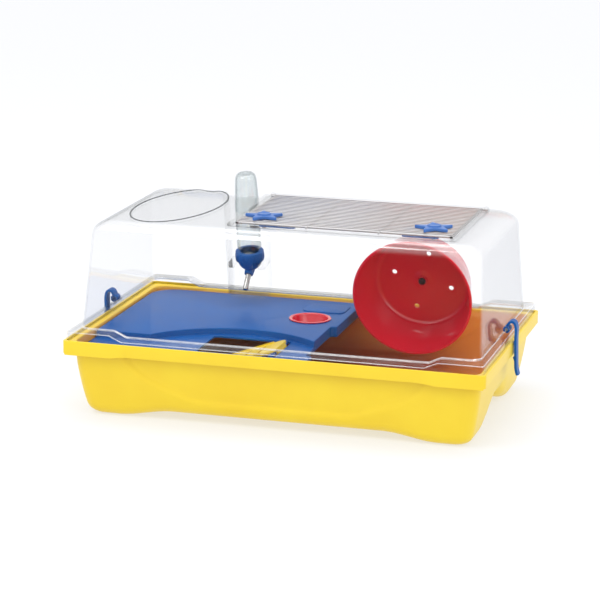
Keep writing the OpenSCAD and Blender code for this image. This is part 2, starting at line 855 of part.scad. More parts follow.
module shelf_platform() {
    t = shelf_t;
    color("royalblue") {
        difference() {
            union() {
                shelf_plan(shelf_z - t, t)
                    difference() {
                        shelf_outline(0);
                        terrace(0);
                    }
                shelf_plan(terrace_z - t, t)
                    intersection() {
                        shelf_outline(0);
                        terrace(t);
                    }
                // riser between the two levels
                shelf_plan(terrace_z - t, shelf_z - terrace_z + t)
                    intersection() {
                        shelf_outline(0);
                        difference() {
                            terrace(t);
                            terrace(0);
                        }
                    }
                // turned-down edge
                shelf_plan(shelf_low, terrace_z - shelf_low - t / 2)
                    difference() {
                        shelf_outline(0);
                        shelf_outline(t);
                    }
                shelf_plan(terrace_z - t, shelf_z - terrace_z + t)
                    difference() {
                        shelf_outline(0);
                        shelf_outline(t);
                        terrace(0);
                    }
                // collar round the hatch
                shelf_plan(shelf_low + 4, terrace_z - shelf_low - 4)
                    translate([hatch_x0 - t, hatch_y0 - t])
                        square([hatch_x1 - hatch_x0 + 2 * t, hatch_y1 - hatch_y0 + 2 * t]);
            }
            translate([hatch_x0, hatch_y0, shelf_low - 1])
                cube([hatch_x1 - hatch_x0, hatch_y1 - hatch_y0, shelf_skirt + 10]);
            translate([bowl_x, bowl_y, shelf_low]) cylinder(r = bowl_d / 2 - bowl_lip, h = 40, $fn = 96);
        }
        // bar that the ramp hooks on
        translate([ramp_x, (hatch_y0 + hatch_y1) / 2, ramp_z])
            rotate([90, 0, 0]) cylinder(r = ramp_bar_r, h = hatch_y1 - hatch_y0 + 1, center = true);
    }
}

module food_bowl() {
    r = bowl_d / 2;
    wall = 1.8;
    foot = r - bowl_lip - loose_fit - 5;
    side = r - bowl_lip - loose_fit;
    top = shelf_z + wall;
    color("firebrick")
        translate([bowl_x, bowl_y, shelf_z])
            rotate_extrude($fn = 96)
                polygon([
                    [0, -bowl_depth], [foot - 3, -bowl_depth], [foot, 3 - bowl_depth], [side, -2], [side, 0],
                    [r, 0], [r, wall * 0.7], [r - 0.6, wall], [side - wall, wall], [side - wall - 0.6, -2],
                    [foot - wall, 3.5 - bowl_depth], [foot - 4, wall - bowl_depth], [0, wall - bowl_depth]
                ]);
}

// Ramp in its own frame: the hook bar at the origin, the deck running down to -X
module ramp() {
    hook_r = ramp_bar_r + loose_fit;
    color("gold")
        translate([ramp_x, ramp_y, ramp_z])
            difference() {
                union() {
                    rotate([90, 0, 0])
                        linear_extrude(ramp_w, center = true)
                            difference() {
                                union() {
                                    circle(hook_r + ramp_t);
                                    rotate(ramp_a)
                                        translate([-ramp_run, ramp_crest - ramp_t]) square([ramp_run, ramp_t]);
                                }
                                circle(hook_r);
                                rotate(-35) translate([-hook_r, -20]) square([2 * hook_r, 20]);
                            }
                    // side edges
                    for (s = [-1, 1])
                        rotate([90, 0, 0])
                            translate([0, 0, s * (ramp_w / 2 - 1.5)])
                                linear_extrude(3, center = true)
                                    rotate(ramp_a)
                                        translate([-ramp_run, ramp_crest - ramp_t / 2])
                                            square([ramp_run - 8, ramp_t / 2 + 3]);
                }
                // slots for grip
                for (k = [1 : ramp_slots])
                    rotate([0, -ramp_a, 0])
                        translate([-ramp_run * k / (ramp_slots + 1), 0, ramp_crest - ramp_t / 2])
                            cube([4, ramp_w - 24, ramp_t * 3], center = true);
            }
}

base_tray();
shelf_platform();
food_bowl();
ramp();
dome_cover();
grille_frame();
grille_crossbars();
grille_wires();
star_knob(0);  // star_knob_left
star_knob(1);  // star_knob_right
latch_tongue(0);  // latch_tongue_left
latch_tongue(1);  // latch_tongue_right
latch_bush(0);  // latch_bush_left
latch_bush(1);  // latch_bush_right
latch_screw(0);  // latch_screw_left
latch_screw(1);  // latch_screw_right
clip(0);  // clip_left
clip(1);  // clip_right
wheel_dish();
wheel_axle();
axle_nut();
axle_cap();
bottle_body();
bottle_cap();
bottle_seal();
spout_tube();
spout_ball();
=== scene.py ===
from math import atan, cos, pi, radians, sin, sqrt

import bmesh
import bpy
from mathutils import Matrix, Vector


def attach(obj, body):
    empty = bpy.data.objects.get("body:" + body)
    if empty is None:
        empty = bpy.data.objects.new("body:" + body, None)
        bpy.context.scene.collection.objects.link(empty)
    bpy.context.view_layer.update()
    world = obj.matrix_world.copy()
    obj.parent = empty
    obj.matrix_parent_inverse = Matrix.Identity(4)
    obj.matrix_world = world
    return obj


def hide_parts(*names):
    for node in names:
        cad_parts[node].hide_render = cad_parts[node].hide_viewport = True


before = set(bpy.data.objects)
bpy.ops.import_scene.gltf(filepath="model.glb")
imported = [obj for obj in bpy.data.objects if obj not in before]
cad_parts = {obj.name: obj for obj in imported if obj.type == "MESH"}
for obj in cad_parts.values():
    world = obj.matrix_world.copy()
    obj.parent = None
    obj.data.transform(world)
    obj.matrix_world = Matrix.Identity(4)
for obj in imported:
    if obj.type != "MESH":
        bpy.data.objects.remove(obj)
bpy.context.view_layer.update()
print("frame loaded")

mm = 0.001


def clearSelection():
    if bpy.context.object and bpy.context.object.mode != "OBJECT":
        bpy.ops.object.mode_set(mode="OBJECT")
    bpy.ops.object.select_all(action="DESELECT")


def activate(piece):
    clearSelection()
    piece.select_set(True)
    bpy.context.view_layer.objects.active = piece


def nameNew(name):  # the primitive just added, with its place put into its mesh
    piece = bpy.context.active_object
    piece.name = name
    piece.data.name = name
    activate(piece)
    bpy.ops.object.transform_apply(location=True, rotation=True, scale=True)
    return piece


def openMesh(piece):
    activate(piece)
    bpy.ops.object.mode_set(mode="EDIT")
    bpy.ops.mesh.select_mode(type="VERT")
    bpy.ops.mesh.select_all(action="DESELECT")


def closeMesh():
    bpy.ops.object.mode_set(mode="OBJECT")


def middle(item):
    if isinstance(item, bmesh.types.BMVert):
        return item.co
    points = [v.co for v in item.verts]
    return sum(points, Vector()) / len(points)


def pick(piece, kind, test):  # selects vertices, edges or faces that pass a test of place and item
    bpy.ops.mesh.select_mode(type=kind)
    bpy.ops.mesh.select_all(action="DESELECT")
    mesh = bmesh.from_edit_mesh(piece.data)
    items = {"VERT": mesh.verts, "EDGE": mesh.edges, "FACE": mesh.faces}[kind]
    for item in items:
        if test(middle(item), item):
            item.select_set(True)
    mesh.select_flush_mode()
    bmesh.update_edit_mesh(piece.data)


def selectAll():
    bpy.ops.mesh.select_all(action="SELECT")


def extrude(step):
    bpy.ops.mesh.extrude_region_move(TRANSFORM_OT_translate={"value": step})


def rise(edge):  # how far an edge climbs
    return abs(edge.verts[0].co.z - edge.verts[1].co.z)


def roundPicked(piece, test, radius, segments):  # rounds the edges that pass the test
    openMesh(piece)
    pick(piece, "EDGE", test)
    bpy.ops.mesh.bevel(offset=radius, segments=segments)
    closeMesh()


def modify(piece, kind, **settings):  # adds a modifier and applies it
    activate(piece)
    modifier = piece.modifiers.new(kind.title(), kind)
    for key, value in settings.items():
        setattr(modifier, key, value)
    bpy.ops.object.modifier_apply(modifier=modifier.name)


def soften(piece, width, segments, angle=50):  # rounds the edges that turn by more than an angle
    modify(piece, "BEVEL", width=width, segments=segments, angle_limit=radians(angle))


def pushBy(piece, weight, direction, strength):  # moves vertices along an axis by a painted weight
    group = piece.vertex_groups.new(name="push")
    for vertex in piece.data.vertices:
        amount = weight(vertex.co)
        if amount > 0:
            group.add([vertex.index], amount, "REPLACE")
    modify(piece, "DISPLACE", direction=direction, strength=strength, mid_level=0,
           vertex_group=group.name)
    piece.vertex_groups.clear()


def combine(piece, other, operation):  # boolean with another piece, which is used up
    modify(piece, "BOOLEAN", operation=operation, object=other, solver="EXACT")
    bpy.data.objects.remove(other)


def joinAll(pieces):
    clearSelection()
    for piece in pieces:
        piece.select_set(True)
    bpy.context.view_layer.objects.active = pieces[0]
    bpy.ops.object.join()
    return pieces[0]


def tidyMesh(piece):  # one skin with its faces outwards
    openMesh(piece)
    selectAll()
    bpy.ops.mesh.remove_doubles(threshold=0.00002)
    bpy.ops.mesh.normals_make_consistent(inside=False)
    closeMesh()


def smoothShade(piece, angle=35):
    activate(piece)
    bpy.ops.object.shade_smooth_by_angle(angle=radians(angle))


def ease(low, high, value):  # 0 below low, 1 above high, and a soft ramp between
    t = min(max((value - low) / (high - low), 0), 1)
    return t * t * (3 - 2 * t)


def addBox(name, low, high):
    centre = [(a + b) / 2 for a, b in zip(low, high)]
    size = [b - a for a, b in zip(low, high)]
    clearSelection()
    bpy.ops.mesh.primitive_cube_add(size=1, location=centre, scale=size)
    return nameNew(name)


def roundOutline(name, halfX, halfY, z, radius, cutsX, cutsY, segments=10):  # open ring of edges
    clearSelection()
    bpy.ops.mesh.primitive_plane_add(size=2, location=(0, 0, z), scale=(halfX, halfY, 1))
    ring = nameNew(name)
    ring.scale = (halfX, halfY, 1)
    activate(ring)
    bpy.ops.object.transform_apply(location=True, rotation=True, scale=True)
    openMesh(ring)
    selectAll()
    bpy.ops.mesh.bevel(offset=radius, segments=segments, affect="VERTICES")
    bpy.ops.mesh.delete(type="ONLY_FACE")
    pick(ring, "EDGE", lambda p, e: e.calc_length() > 0.05 and abs(p.x) < abs(p.y) * 0.01 + 0.001)
    bpy.ops.mesh.subdivide(number_cuts=cutsX)
    pick(ring, "EDGE", lambda p, e: e.calc_length() > 0.05 and abs(p.y) < 0.001)
    bpy.ops.mesh.subdivide(number_cuts=cutsY)
    closeMesh()
    return ring


def growRings(ring, levels):  # extrudes the outline through (half length, half width, height) levels
    openMesh(ring)
    bpy.ops.mesh.select_mode(type="VERT")
    selectAll()
    hereX, hereY, hereZ = levels[0]
    for halfX, halfY, z in levels[1:]:
        extrude((0, 0, z - hereZ))
        bpy.ops.transform.resize(value=(halfX / hereX, halfY / hereY, 1), center_override=(0, 0, 0))
        hereX, hereY, hereZ = halfX, halfY, z
    closeMesh()


def bridgeAt(piece, test):  # joins the two loops of edges that pass the test
    openMesh(piece)
    pick(piece, "EDGE", lambda p, e: e.is_boundary and test(p))
    bpy.ops.mesh.bridge_edge_loops()
    closeMesh()



def hexColor(code):  # sRGB hex to linear
    parts = [int(code[i:i + 2], 16) / 255 for i in (1, 3, 5)]
    return [c / 12.92 if c <= 0.04045 else ((c + 0.055) / 1.055) ** 2.4 for c in parts] + [1]


def addNode(tree, kind, settings=None, **links):  # a node with its settings and what feeds it
    node = tree.nodes.new("ShaderNode" + kind)
    for key, value in (settings or {}).items():
        if isinstance(key, int) or key in node.inputs:
            node.inputs[key].default_value = value
        else:
            setattr(node, key, value)
    for key, source in links.items():  # a socket by its number or by its name without spaces
        names = [socket.name.replace(" ", "") for socket in node.inputs]
        tree.links.new(source, node.inputs[int(key) if key.isdigit() else names.index(key)])
    return node


def newMaterial(name):
    material = bpy.data.materials.new(name)
    material.use_nodes = True
    material.node_tree.nodes.clear()
    return material, material.node_tree


def closeMaterial(tree, shader):
    output = tree.nodes.new("ShaderNodeOutputMaterial")
    tree.links.new(shader, output.inputs["Surface"])


def mouldedPlastic(name, look):
    # injection-moulded polymer: an even satin skin with a fine spark grain and slight flow marks
    material, tree = newMaterial(name)
    place = addNode(tree, "TexCoord").outputs["Object"]
    flow = addNode(tree, "TexNoise", {"Scale": look["flowScale"], "Detail": 3.0}, Vector=place)
    grain = addNode(tree, "TexNoise", {"Scale": 900, "Detail": 2.0}, Vector=place)
    tint = addNode(tree, "ValToRGB", Fac=flow.outputs["Fac"])
    tint.color_ramp.elements[0].position = 0.3
    tint.color_ramp.elements[0].color = hexColor(look["deep"])
    tint.color_ramp.elements[1].position = 0.7
    tint.color_ramp.elements[1].color = hexColor(look["color"])
    base = tint.outputs["Color"]
    if "inside" in look:  # painted bounce light and painted shade: the marked inner skin is tinted orange, going brown low down and in the middle
        marked = addNode(tree, "Attribute", {"attribute_name": "inside"})
        depth = addNode(tree, "Attribute", {"attribute_name": "deep"})
        near, far = (hexColor(code) for code in look["inside"])
        # painted shade: orange where lit by the walls, brown where the painted shade is deepest, by the
        # deep weight
        glow = addNode(tree, "Mix", {"data_type": "RGBA", 6: near, 7: far},
                       **{"0": depth.outputs["Fac"]})
        base = addNode(tree, "Mix", {"data_type": "RGBA"}, **{
            "0": marked.outputs["Fac"], "6": base, "7": glow.outputs[2]}).outputs[2]
    rough = addNode(tree, "MapRange", {"To Min": look["rough"][0], "To Max": look["rough"][1]},
                    Value=flow.outputs["Fac"])
    bump = addNode(tree, "Bump", {"Strength": look["grain"], "Distance": 0.0002},
                   Height=grain.outputs["Fac"])
    skin = addNode(tree, "BsdfPrincipled", {
        "IOR": look["ior"], "Specular IOR Level": look.get("specular", 0.5),
        "Coat Weight": look.get("coat", 0.0), "Coat Roughness": 0.06,
    }, BaseColor=base, Roughness=rough.outputs["Result"], Normal=bump.outputs["Normal"])
    closeMaterial(tree, skin.outputs["BSDF"])
    return material


def clearPlastic(name, look):
    # clear sheet with polished faces: what is behind shows through, and edges and curves catch the light
    material, tree = newMaterial(name)
    place = addNode(tree, "TexCoord").outputs["Object"]
    waves = addNode(tree, "TexNoise", {"Scale": 9.0, "Detail": 2.0}, Vector=place)
    bump = addNode(tree, "Bump", {"Strength": look["wave"], "Distance": 0.002},
                   Height=waves.outputs["Fac"])
    turned = addNode(tree, "LayerWeight", {"Blend": 0.5}, Normal=bump.outputs["Normal"])
    facing = turned.outputs["Facing"]
    edge = addNode(tree, "Math", {"operation": "POWER", 1: look["edge"]}, **{"0": facing})
    marked = addNode(tree, "Attribute", {"attribute_name": "line"})
    tint = addNode(tree, "Math", {"operation": "MAXIMUM"},
                   **{"0": edge.outputs["Value"], "1": marked.outputs["Fac"]})
    pane = addNode(tree, "BsdfTransparent", {"Color": hexColor(look["through"])})
    rim = addNode(tree, "BsdfTransparent", {"Color": hexColor(look["rim"])})
    tinted = addNode(tree, "MixShader", **{"0": tint.outputs["Value"],
                     "1": pane.outputs["BSDF"], "2": rim.outputs["BSDF"]})
    shine = addNode(tree, "BsdfGlossy", {"Color": (1, 1, 1, 1), "Roughness": look["rough"]},
                    Normal=bump.outputs["Normal"])
    steep = addNode(tree, "Math", {"operation": "POWER", 1: 5.0}, **{"0": facing})
    mirror = addNode(tree, "MapRange", {"To Min": look["mirror"], "To Max": look["graze"]},
                     Value=steep.outputs["Value"])
    bright = addNode(tree, "Attribute", {"attribute_name": "gleam"})
    gleam = addNode(tree, "Math", {"operation": "MAXIMUM"},
                    **{"0": mirror.outputs["Result"], "1": bright.outputs["Fac"]})
    solid = addNode(tree, "MixShader", **{"0": gleam.outputs["Value"],
                    "1": tinted.outputs["Shader"], "2": shine.outputs["BSDF"]})
    # lamps shine through the sheet
    ray = addNode(tree, "LightPath")
    skin = addNode(tree, "MixShader", **{"0": ray.outputs["Is Shadow Ray"],
                   "1": solid.outputs["Shader"], "2": pane.outputs["BSDF"]})
    closeMaterial(tree, skin.outputs["Shader"])
    return material


def drawnSteel(name, look):
    # zinc-plated drawn wire: a soft grey metal with fine streaks along its length
    material, tree = newMaterial(name)
    place = addNode(tree, "TexCoord").outputs["Object"]
    stretch = addNode(tree, "Mapping", {"Scale": look["stretch"]}, Vector=place)
    streak = addNode(tree, "TexNoise", {"Scale": look["scale"], "Detail": 4.0},
                     Vector=stretch.outputs["Vector"])
    tint = addNode(tree, "ValToRGB", Fac=streak.outputs["Fac"])
    tint.color_ramp.elements[0].color = hexColor(look["deep"])
    tint.color_ramp.elements[1].color = hexColor(look["color"])
    rough = addNode(tree, "MapRange", {"To Min": look["rough"][0], "To Max": look["rough"][1]},
                    Value=streak.outputs["Fac"])
    skin = addNode(tree, "BsdfPrincipled", {"Metallic": 1.0},
                   BaseColor=tint.outputs["Color"], Roughness=rough.outputs["Result"])
    closeMaterial(tree, skin.outputs["BSDF"])
    return material


# the yellow's inside pair is painted bounce light (orange) and painted shade (brown) for the tray's inner
# walls and floor
yellowPP = mouldedPlastic("mouldedPolypropyleneYellow", {
    "color": "#F0D22E", "deep": "#ECCA2A", "rough": (0.28, 0.38), "ior": 1.49, "specular": 0.4,
    "flowScale": 12, "grain": 0.05, "inside": ("#F0AC50", "#A8502F")})
bluePP = mouldedPlastic("mouldedPolypropyleneBlue", {
    "color": "#175AA3", "deep": "#145198", "rough": (0.3, 0.42), "ior": 1.49, "specular": 0.14,
    "flowScale": 14, "grain": 0.06})
starPP = mouldedPlastic("mouldedPolypropyleneLightBlue", {
    "color": "#4672B8", "deep": "#3E69AE", "rough": (0.28, 0.4), "ior": 1.49, "specular": 0.3,
    "flowScale": 20, "grain": 0.05})
redPS = mouldedPlastic("mouldedPolystyreneRed", {
    "color": "#DC1A34", "deep": "#D2172F", "rough": (0.08, 0.14), "ior": 1.59,
    "flowScale": 10, "grain": 0.02, "coat": 0.3})
blackPOM = mouldedPlastic("mouldedAcetalBlack", {
    "color": "#2C2022", "deep": "#241A1C", "rough": (0.3, 0.45), "ior": 1.48,
    "flowScale": 40, "grain": 0.05})
whiteSilicone = mouldedPlastic("mouldedSiliconeWhite", {
    "color": "#E9E8E2", "deep": "#E0DFD8", "rough": (0.45, 0.55), "ior": 1.41,
    "flowScale": 40, "grain": 0.05})
clearPS = clearPlastic("clearPolystyrene", {
    "through": "#FEFEFE", "rim": "#858B90", "edge": 9.0, "rough": 0.03, "mirror": 0.007, "graze": 0.6,
    "wave": 0.02})
clearPET = clearPlastic("blowMouldedPET", {
    "through": "#F8FAFA", "rim": "#A9B1B4", "edge": 3.0, "rough": 0.06, "mirror": 0.06, "graze": 0.8,
    "wave": 0.08})
zincWire = drawnSteel("zincPlatedDrawnWire", {
    "color": "#D3D1D1", "deep": "#ABA9AA", "rough": (0.3, 0.5), "stretch": (1, 60, 60), "scale": 40})
stainless = drawnSteel("polishedStainlessTube", {
    "color": "#C8C6C4", "deep": "#A09E9C", "rough": (0.15, 0.28), "stretch": (60, 60, 8), "scale": 30})

nodeFinish = {
    "base_tray": yellowPP, "ramp": yellowPP, "shelf_platform": bluePP, "food_bowl": redPS,
    "dome_cover": clearPS, "grille_frame": zincWire, "grille_crossbars": zincWire,
    "grille_wires": zincWire, "star_knob_left": starPP, "star_knob_right": starPP,
    "latch_tongue_left": bluePP, "latch_tongue_right": bluePP, "latch_bush_left": zincWire,
    "latch_bush_right": zincWire, "latch_screw_left": stainless, "latch_screw_right": stainless,
    "clip_left": bluePP, "clip_right": bluePP, "wheel_dish": redPS, "wheel_axle": blackPOM,
    "axle_nut": blackPOM, "axle_cap": blackPOM, "bottle_body": clearPET, "bottle_cap": bluePP,
    "bottle_seal": whiteSilicone, "spout_tube": stainless, "spout_ball": stainless,
}
for nodeName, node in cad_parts.items():
    for slot in node.material_slots:
        slot.material = nodeFinish[nodeName]
print("finishes made")


def handIn(piece, smooth, finish, slotName, body, *nodes):  # with the nodes that it stands for
    smoothShade(piece, smooth)
    piece.data.materials.clear()
    piece.data.materials.append(finish)
    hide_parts(*nodes)
    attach(piece, body)


tray = {
    "halfX": 290 * mm, "halfY": 185 * mm, "rimRadius": 5.5 * mm, "lipTop": 106.5 * mm,
    "ledge": 103.5 * mm, "lipWidth": 3.5 * mm, "skirtLow": 89 * mm, "wall": 1.7 * mm,
    "bodyRadius": 17 * mm, "rimWidth": 10 * mm, "footInX": 30 * mm, "footInY": 32 * mm, "curve": 2.2,
    "floor": 9.6 * mm, "footDrop": 9.6 * mm, "footRound": 11 * mm,
    "gripRise": 17 * mm, "panelDepth": 3.0 * mm,
}


def trayInset(z):  # how far the inside of the wall stands in from the rim
    up = z / tray["ledge"]
    low = max(1 - up, 0) ** tray["curve"]
    insetX = tray["rimWidth"] + (tray["footInX"] - tray["rimWidth"]) * low
    insetY = tray["rimWidth"] + (tray["footInY"] - tray["rimWidth"]) * low
    return insetX + tray["wall"], insetY + tray["wall"]


def trayLevels():
    floorTop = tray["floor"] + tray["wall"]
    inX, inY = trayInset(tray["ledge"])
    fillet = 2.2 * mm
    levels = [(inX - fillet, inY - fillet, tray["ledge"])]
    for turn in (30, 60, 90):
        side = fillet * (1 - sin(radians(turn)))
        levels.append((inX - side, inY - side, tray["ledge"] - fillet * (1 - cos(radians(turn)))))
    steps = 26
    lowest = floorTop + tray["footRound"]
    for step in range(1, steps + 1):
        z = (tray["ledge"] - fillet) + (lowest - tray["ledge"] + fillet) * step / steps
        levels.append((*trayInset(z), z))
    for turn in (15, 30, 45, 60, 75, 90):
        z = lowest - tray["footRound"] * sin(radians(turn))
        inX, inY = trayInset(z)
        side = tray["footRound"] * (1 - cos(radians(turn)))
        levels.append((inX + side, inY + side, z))
    inX, inY, z = levels[-1]
    for inset in (6, 12, 18, 24, 30, 36, 42, 50, 60, 72, 86):
        levels.append((inX + inset * mm, inY + inset * mm, z))
    return [(tray["halfX"] - a, tray["halfY"] - b, z) for a, b, z in levels]


def creaseHeight(x):  # the curved crease that runs from under the rim down to the middle
    along = min(max((205 * mm - abs(x)) / (100 * mm), 0), 1)
    return 88 * mm - 60 * mm * along ** (1 / 1.9)


def makeTray():
    cutsX, cutsY = 150, 80
    hx, hy = tray["halfX"], tray["halfY"]
    lip = tray["lipWidth"]
    soft = 0.9 * mm
    rim = roundOutline("tray", hx, hy, tray["skirtLow"], tray["rimRadius"], cutsX, cutsY)
    growRings(rim, [
        (hx, hy, tray["skirtLow"]), (hx, hy, tray["lipTop"] - soft),
        (hx - soft * 0.3, hy - soft * 0.3, tray["lipTop"] - soft * 0.3),
        (hx - soft, hy - soft, tray["lipTop"]),
        (hx - lip + 0.5 * mm, hy - lip + 0.5 * mm, tray["lipTop"]),
        (hx - lip, hy - lip, tray["lipTop"] - 0.5 * mm), (hx - lip, hy - lip, tray["ledge"]),
    ])
    levels = trayLevels()
    body = roundOutline("trayBody", *levels[0], tray["bodyRadius"], cutsX, cutsY)
    growRings(body, levels)
    whole = joinAll([rim, body])
    nearLedge = tray["ledge"]
    bridgeAt(whole, lambda p: abs(p.z - nearLedge) < 0.1 * mm)
    openMesh(whole)
    pick(whole, "EDGE", lambda p, e: e.is_boundary and p.z < 0.03)
    bpy.ops.mesh.edge_face_add()
    selectAll()
    bpy.ops.mesh.normals_make_consistent(inside=False)
    closeMesh()
    # feet, hand holds and the pressed front and back panels
    pushBy(whole, lambda p: ease(0.145, 0.222, abs(p.x)) * ease(0.055, 0.1, abs(p.y))
           * (1 - ease(0.012, 0.06, p.z)), "Z", -tray["footDrop"])
    pushBy(whole, lambda p: ease(0.214, 0.244, abs(p.x)) * (1 - ease(0.026, 0.066, abs(p.y)))
           * (1 - ease(0.014, 0.06, p.z)), "Z", tray["gripRise"])
    for side in (-1, 1):
        pushBy(whole, lambda p: ease(0.12, 0.13, p.y * side) * ease(0, 6 * mm, p.z - creaseHeight(p.x))
               * (1 - ease(205 * mm, 211 * mm, abs(p.x))) * (1 - ease(94 * mm, 100 * mm, p.z))
               * ease(0.012, 0.02, p.z), "Y", -side * tray["panelDepth"])
    pushBy(whole, lambda p: (p.z < tray["skirtLow"] + 0.1 * mm and abs(p.y) > hy - 1 * mm)
           * ease(208 * mm, 225 * mm, abs(p.x)), "Z", -2 * mm)
    outer = whole.vertex_groups.new(name="outer")
    modify(whole, "SOLIDIFY", thickness=tray["wall"], offset=-1, use_even_offset=True,
           shell_vertex_group=outer.name)
    # inside skin marked for painted bounce light from the yellow walls lighting each other, and painted
    # shade that deepens low down and towards the middle
    inside = whole.data.attributes.new("inside", "FLOAT", "POINT")
    shade = whole.data.attributes.new("deep", "FLOAT", "POINT")
    for vertex in whole.data.vertices:
        isOuter = any(g.weight > 0.5 for g in vertex.groups)
        deep = 1 - ease(98 * mm, 105 * mm, vertex.co.z)
        hidden = abs(vertex.co.x) < 281 * mm and abs(vertex.co.y) < 176 * mm
        inside.data[vertex.index].value = deep if hidden and not isOuter else 0
        # painted shade weight: darker towards the floor and towards the middle of the tray
        shade.data[vertex.index].value = ((1 - ease(15 * mm, 75 * mm, vertex.co.z))
                                          * (1 - ease(120 * mm, 235 * mm, abs(vertex.co.x))))
    whole.vertex_groups.clear()
    handIn(whole, 40, yellowPP, "tray_yellow", "tray", "base_tray")


makeTray()
print("tray made")

cover = {
    "halfX": 286.2 * mm, "halfY": 181.2 * mm, "low": 103.7 * mm, "plateau": 118 * mm,
    "trough": 8 * mm, "lugEnd": 225 * mm, "lugFoot": 208 * mm, "wall": 1.8 * mm,
    "inX": 14 * mm, "inY": 28 * mm, "leanX": 8 * mm, "leanY": 28 * mm, "leanFrom": 112 * mm,
    "roof": 262 * mm, "roundX": 26 * mm, "roundY": 14 * mm, "roundZ": 18 * mm, "radius": 16 * mm,
}
wallTilt = atan(cover["leanY"] / (cover["roof"] - cover["leanFrom"]))


def coverHalf(z):
    up = (z - cover["leanFrom"]) / (cover["roof"] - cover["leanFrom"])
    return 290 * mm - cover["inX"] - cover["leanX"] * up, 185 * mm - cover["inY"] - cover["leanY"] * up


def coverLevels():
    fillet = 2 * mm
    wallX, wallY = coverHalf(cover["plateau"])
    levels = [(wallX + fillet, wallY + fillet, cover["plateau"])]
    for turn in (45, 90):
        side = fillet * (1 - sin(radians(turn)))
        levels.append((wallX + side, wallY + side, cover["plateau"] + fillet * (1 - cos(radians(turn)))))
    shoulder = cover["roof"] - cover["roundZ"]
    for step in range(1, 13):
        z = cover["plateau"] + fillet + (shoulder - cover["plateau"] - fillet) * step / 12
        levels.append((*coverHalf(z), z))
    for turn in range(10, 91, 10):
        z = shoulder + cover["roundZ"] * sin(radians(turn))
        halfX, halfY = coverHalf(z)
        levels.append((halfX - cover["roundX"] * (1 - cos(radians(turn))),
                       halfY - cover["roundY"] * (1 - cos(radians(turn))), z))
    return levels


def makeCoverSkin():
    cutsX, cutsY = 60, 40
    hx, hy = cover["halfX"], cover["halfY"]
    soft = 1.4 * mm
    flange = roundOutline("cover", hx, hy, cover["low"], 4.5 * mm, cutsX, cutsY)
    growRings(flange, [
        (hx, hy, cover["low"]), (hx, hy, cover["plateau"] - soft),
        (hx - soft * 0.3, hy - soft * 0.3, cover["plateau"] - soft * 0.3),
        (hx - soft, hy - soft, cover["plateau"]),
    ])
    levels = coverLevels()
    shell = roundOutline("coverShell", *levels[0], cover["radius"], cutsX, cutsY)
    growRings(shell, levels)
    whole = joinAll([flange, shell])
    plateau = cover["plateau"]
    bridgeAt(whole, lambda p: abs(p.z - plateau) < 0.1 * mm)
    openMesh(whole)
    pick(whole, "EDGE", lambda p, e: e.is_boundary and p.z > 0.25)
    bpy.ops.mesh.edge_face_add()
    bpy.ops.mesh.inset(thickness=4 * mm)
    selectAll()
    bpy.ops.mesh.normals_make_consistent(inside=False)
    closeMesh()
    gleam = whole.data.attributes.new("gleam", "FLOAT", "POINT")
    shoulder = cover["roof"] - cover["roundZ"]
    for vertex in whole.data.vertices:
        p, shine = vertex.co, 0.0
        if abs(p.z - plateau + soft * 0.3) < 0.3 * mm:
            shine = 0.75
        elif plateau + 0.2 * mm < p.z < plateau + 1.9 * mm:
            shine = 0.6
        elif p.z > shoulder:
            shine = 0.14 * ease(shoulder, shoulder + 0.6 * cover["roundZ"], p.z)
            shine *= p.z < cover["roof"] - 1 * mm
        gleam.data[vertex.index].value = shine
    openMesh(whole)
    for x in (-cover["lugEnd"], -cover["lugFoot"], cover["lugFoot"], cover["lugEnd"]):
        selectAll()
        bpy.ops.mesh.bisect(plane_co=(x, 0, 0), plane_no=(1, 0, 0))
    closeMesh()
    pushBy(whole, lambda p: (1 - ease(cover["lugFoot"] - 2 * mm, cover["lugEnd"] + 2 * mm, abs(p.x)))
           * (abs(p.y) > 150 * mm) * (cover["low"] + 5 * mm < p.z < cover["plateau"] + 2.5 * mm),
           "Z", -cover["trough"])
    return whole


niche = {"x": -125 * mm, "width": 56 * mm, "depth": 32 * mm, "floor": 2 * mm, "slot": 20 * mm}


def onWallAt(x, z):  # a frame on the back wall's outer face, with Z up the wall
    return Matrix.Translation((x, coverHalf(z)[1], z)) @ Matrix.Rotation(wallTilt, 4, "X")


onWall = onWallAt(niche["x"], cover["leanFrom"] + niche["floor"])
onBottle = onWallAt(niche["x"], 147 * mm) @ Matrix.Translation((0, -10.5 * mm, 0))


def placeBy(piece, matrix):
    piece.matrix_world = matrix
    activate(piece)
    bpy.ops.object.transform_apply(location=True, rotation=True, scale=True)


door = {"x0": -76 * mm, "x1": 222 * mm, "y0": -98 * mm, "y1": 104 * mm, "seat": 5 * mm}


def spinProfile(name, profile, steps=64, soft=0.0, place=Matrix(), closed=True):
    # a profile of (radius, height) points spun round its axis
    clearSelection()
    bpy.ops.mesh.primitive_plane_add(size=0.001, location=(0, 0, 0))
    piece = nameNew(name)
    openMesh(piece)
    selectAll()
    bpy.ops.mesh.merge(type="CENTER")
    bpy.ops.transform.translate(value=(profile[0][0] * mm, 0, profile[0][1] * mm))
    points = profile[1:] + ([profile[0]] if closed else [])
    here = profile[0]
    for radius, height in points:
        step = ((radius - here[0]) * mm, 0, (height - here[1]) * mm)
        extrude(step)
        here = (radius, height)
    selectAll()
    bpy.ops.mesh.remove_doubles(threshold=0.00001)
    if soft:
        pick(piece, "VERT", lambda p, v: p.x > 0.0004)
        bpy.ops.mesh.bevel(offset=soft * mm, segments=3, affect="VERTICES")
    selectAll()
    bpy.ops.mesh.spin(steps=steps, angle=2 * pi, center=(0, 0, 0), axis=(0, 0, 1))
    selectAll()
    bpy.ops.mesh.remove_doubles(threshold=0.00001)
    bpy.ops.mesh.normals_make_consistent(inside=False)
    closeMesh()
    placeBy(piece, place)
    return piece


